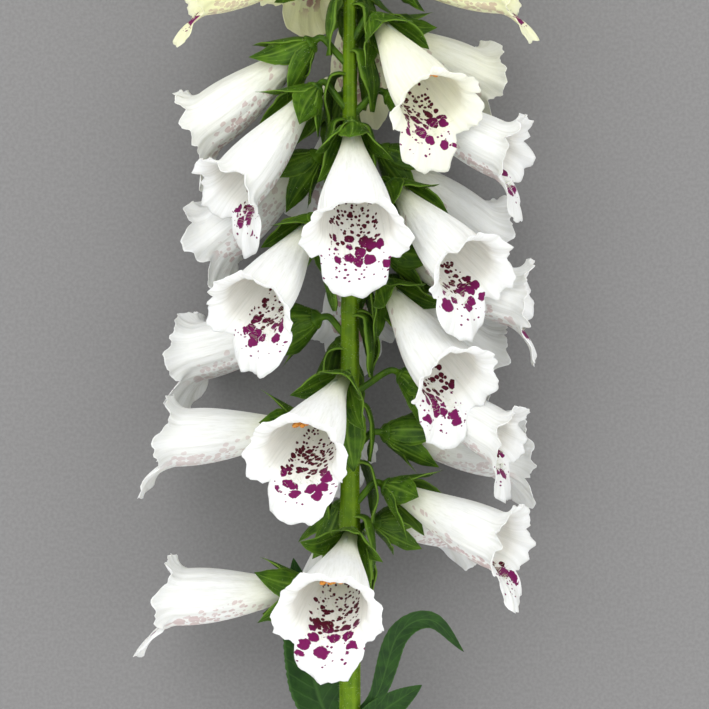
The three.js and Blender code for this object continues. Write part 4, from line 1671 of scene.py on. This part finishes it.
@dataclass(frozen=True)
class Down:
    """Fine upright hairs over a surface, made by Geometry Nodes and realized. Its sizes are in metres."""

    density: float
    length: float
    radius: float = 0.000035
    seed: int = 11

    def tree(self, material: bpy.types.Material) -> tuple[bpy.types.GeometryNodeTree, dict[str, str]]:
        """Makes the node tree.

        Args:
            material: the hairs' finish.

        Returns:
            The tree and its input identifiers by name.
        """
        tree = bpy.data.node_groups.new("down", "GeometryNodeTree")
        face = tree.interface
        face.new_socket("Surface", in_out="INPUT", socket_type="NodeSocketGeometry")
        kinds = {"Density": "Float", "Length": "Float", "Radius": "Float", "Seed": "Int"}
        names = {
            name: face.new_socket(name, in_out="INPUT", socket_type=f"NodeSocket{kind}").identifier
            for name, kind in kinds.items()
        }
        face.new_socket("Down", in_out="OUTPUT", socket_type="NodeSocketGeometry")
        start = tree.nodes.new("NodeGroupInput").outputs
        points = make_node(tree, "GeometryNodeDistributePointsOnFaces", {"distribute_method": "RANDOM"}, {
            "Mesh": start["Surface"], "Density": start["Density"], "Seed": start["Seed"]})
        cone = make_node(tree, "GeometryNodeMeshCone", {"fill_type": "NGON"}, {
            "Vertices": 3, "Radius Top": 0.0, "Radius Bottom": start["Radius"], "Depth": start["Length"]})
        lean = make_node(tree, "FunctionNodeRandomValue", {"data_type": "FLOAT_VECTOR"}, {
            0: (-0.6, -0.6, -3.14), 1: (0.6, 0.6, 3.14), "Seed": start["Seed"]})
        turned = make_node(tree, "FunctionNodeRotateRotation", {"rotation_space": "LOCAL"}, {
            "Rotation": points.outputs["Rotation"], "Rotate By": lean.outputs[0]})
        size = make_node(tree, "FunctionNodeRandomValue", {"data_type": "FLOAT"}, {
            2: 0.4, 3: 1.2, "Seed": start["Seed"]})
        placed = make_node(tree, "GeometryNodeInstanceOnPoints", {}, {
            "Points": points.outputs["Points"], "Instance": cone.outputs["Mesh"],
            "Rotation": turned.outputs["Rotation"], "Scale": size.outputs[1]})
        real = make_node(tree, "GeometryNodeRealizeInstances", {}, {"Geometry": placed.outputs["Instances"]})
        painted = make_node(tree, "GeometryNodeSetMaterial", {}, {
            "Geometry": real.outputs["Geometry"], "Material": material})
        end = tree.nodes.new("NodeGroupOutput")
        tree.links.new(painted.outputs["Geometry"], end.inputs["Down"])
        return tree, names

    def build(self, name: str, surface: bpy.types.Object, material: bpy.types.Material) -> bpy.types.Object:
        """Makes the hairs over a surface as a mesh object of their own.

        Args:
            name: the new object's name.
            surface: what they stand on.
            material: their finish.

        Returns:
            The new object.
        """
        carrier = bpy.data.objects.new(name, surface.data.copy())
        bpy.context.scene.collection.objects.link(carrier)
        modifier = carrier.modifiers.new("down", "NODES")
        modifier.node_group, names = self.tree(material)
        sizes = {"Density": self.density, "Length": self.length, "Radius": self.radius, "Seed": self.seed}
        for key, value in sizes.items():
            modifier[names[key]] = value
        carrier.update_tag()
        bpy.context.view_layer.update()
        evaluated = carrier.evaluated_get(bpy.context.evaluated_depsgraph_get())
        mesh = bpy.data.meshes.new_from_object(evaluated)
        carrier.modifiers.clear()
        carrier.data = mesh
        mesh.polygons.foreach_set("use_smooth", [True] * len(mesh.polygons))
        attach(carrier, "root")
        LOG.info("%s: %d triangles", name, len(mesh.loops) - 2 * len(mesh.polygons))
        return carrier


# The setting


@dataclass(frozen=True)
class Surface:
    """A plain pale surface below the spike. Its size is in metres."""

    half: float = 3.0
    dark: Colour = (0.176, 0.174, 0.174)
    light: Colour = (0.203, 0.201, 0.201)

    def build(self) -> None:
        """Makes it."""
        tree = ShaderTree("pale_surface")
        grain = tree.grain(tree.place(), 900.0, 3)
        mesh = bpy.data.meshes.new("surface")
        corners = [(x * self.half, y * self.half, 0) for x, y in ((-1, -1), (1, -1), (1, 1), (-1, 1))]
        mesh.from_pydata(corners, [], [(0, 1, 2, 3)])
        mesh.materials.append(
            tree.finish(Base_Color=tree.mix(grain.ramp(0.3, 0.7), self.dark, self.light), Roughness=0.9)
        )
        floor = bpy.data.objects.new("surface", mesh)
        bpy.context.scene.collection.objects.link(floor)


@dataclass(frozen=True)
class Lamp:
    """A square soft light that is turned to the spike. Its place and size are in metres."""

    name: str
    place: tuple[float, float, float]
    size: float
    power: float

    def build(self) -> None:
        """Makes it."""
        data = bpy.data.lights.new(self.name, "AREA")
        data.size = self.size
        data.energy = self.power
        lamp = bpy.data.objects.new(self.name, data)
        lamp.location = self.place
        x, y, z = self.place
        lamp.rotation_euler = (math.atan2(math.hypot(x, y), z), 0.0, math.atan2(-y, -x) - math.pi / 2)
        bpy.context.scene.collection.objects.link(lamp)


LAMPS = (
    Lamp("key", (-0.45, 0.5, 1.25), size=0.9, power=4.8),
    Lamp("fill", (0.8, -0.3, 1.2), size=1.2, power=2.2),
)
SKY = 1.4
"""The strength of the pale sky."""


def dress_sky() -> None:
    """An even pale sky."""
    world = bpy.data.worlds.new("studio")
    world.use_nodes = True
    colour, strength = world.node_tree.nodes["Background"].inputs[:2]
    colour.default_value = (1.0, 1.0, 1.0, 1.0)
    strength.default_value = SKY
    bpy.context.scene.world = world


@dataclass(frozen=True)
class Look:
    """The camera: straight above the stem, with the photograph's framing."""

    frame_width: float = 236.3
    middle: tuple[float, float] = (6.5, -41.8)
    distance: float = 1400.0
    sensor: float = 36.0
    nearest: float = 0.05

    def build(self) -> None:
        """Makes the scene's camera."""
        data = bpy.data.cameras.new("camera")
        data.sensor_width = self.sensor
        data.lens = self.sensor * self.distance / self.frame_width
        data.clip_start = self.nearest
        camera = bpy.data.objects.new("camera", data)
        camera.location = (self.middle[0] * MM, self.middle[1] * MM, (STEM.lift + self.distance) * MM)
        bpy.context.scene.collection.objects.link(camera)
        bpy.context.scene.camera = camera
        bpy.context.scene.view_settings.view_transform = "Standard"


def build_flowers(petal: bpy.types.Material, hair: bpy.types.Material) -> None:
    """Makes the bells with what is in them, and the pale buds.

    Args:
        petal: the petals' finish.
        hair: the finish of the hairs in the mouths.
    """
    stalks = MeshMaker("stamens")
    beards = MeshMaker("beards")
    for number, flower in enumerate(FLOWERS, start=1):
        corolla = Corolla(flower, number)
        corolla.build(petal, Tone.YOUNG if flower.at >= CREAM_FROM else Tone.OPEN)
        Stamens(corolla).build(stalks)
        Beard(corolla).build(beards)
    stalks.build(anther_finish(), Tone.YOUNG.value)
    beards.build(hair, Tone.YOUNG.value)
    for number, flower in enumerate(BUD_PLAN.flowers()[: BUD_PLAN.pale], start=1):
        maker = MeshMaker(f"pale_bud_{number}")
        Bud(flower, number, False).build(maker)
        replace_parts(maker.build(petal, Tone.YOUNG.value), f"bud_{number}")


def build_greens(hair: bpy.types.Material) -> None:
    """Makes the stem and all that is green on it, with its down.

    Args:
        hair: the finish of the down.
    """
    green = Greenery()
    sepal_skin = SEPAL_SKIN.build()
    stem = green.build_stem(STEM_SKIN.build())
    sepals = green.build_sepals(sepal_skin)
    green.build_leaves(LEAF_SKIN.build())
    green.build_tip(sepal_skin)
    Down(density=500000.0, length=0.0008).build("stem_down", stem, hair)
    Down(density=160000.0, length=0.0006, seed=12).build("sepal_down", sepals, hair)


def main() -> None:
    """Builds every piece over the frame."""
    logging.basicConfig(level=logging.INFO, format="%(message)s")
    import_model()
    Look().build()
    hair = hair_finish()
    build_flowers(PetalFinish().build(), hair)
    build_greens(hair)
    Surface().build()
    for lamp in LAMPS:
        lamp.build()
    dress_sky()


if __name__ == "__main__":
    main()
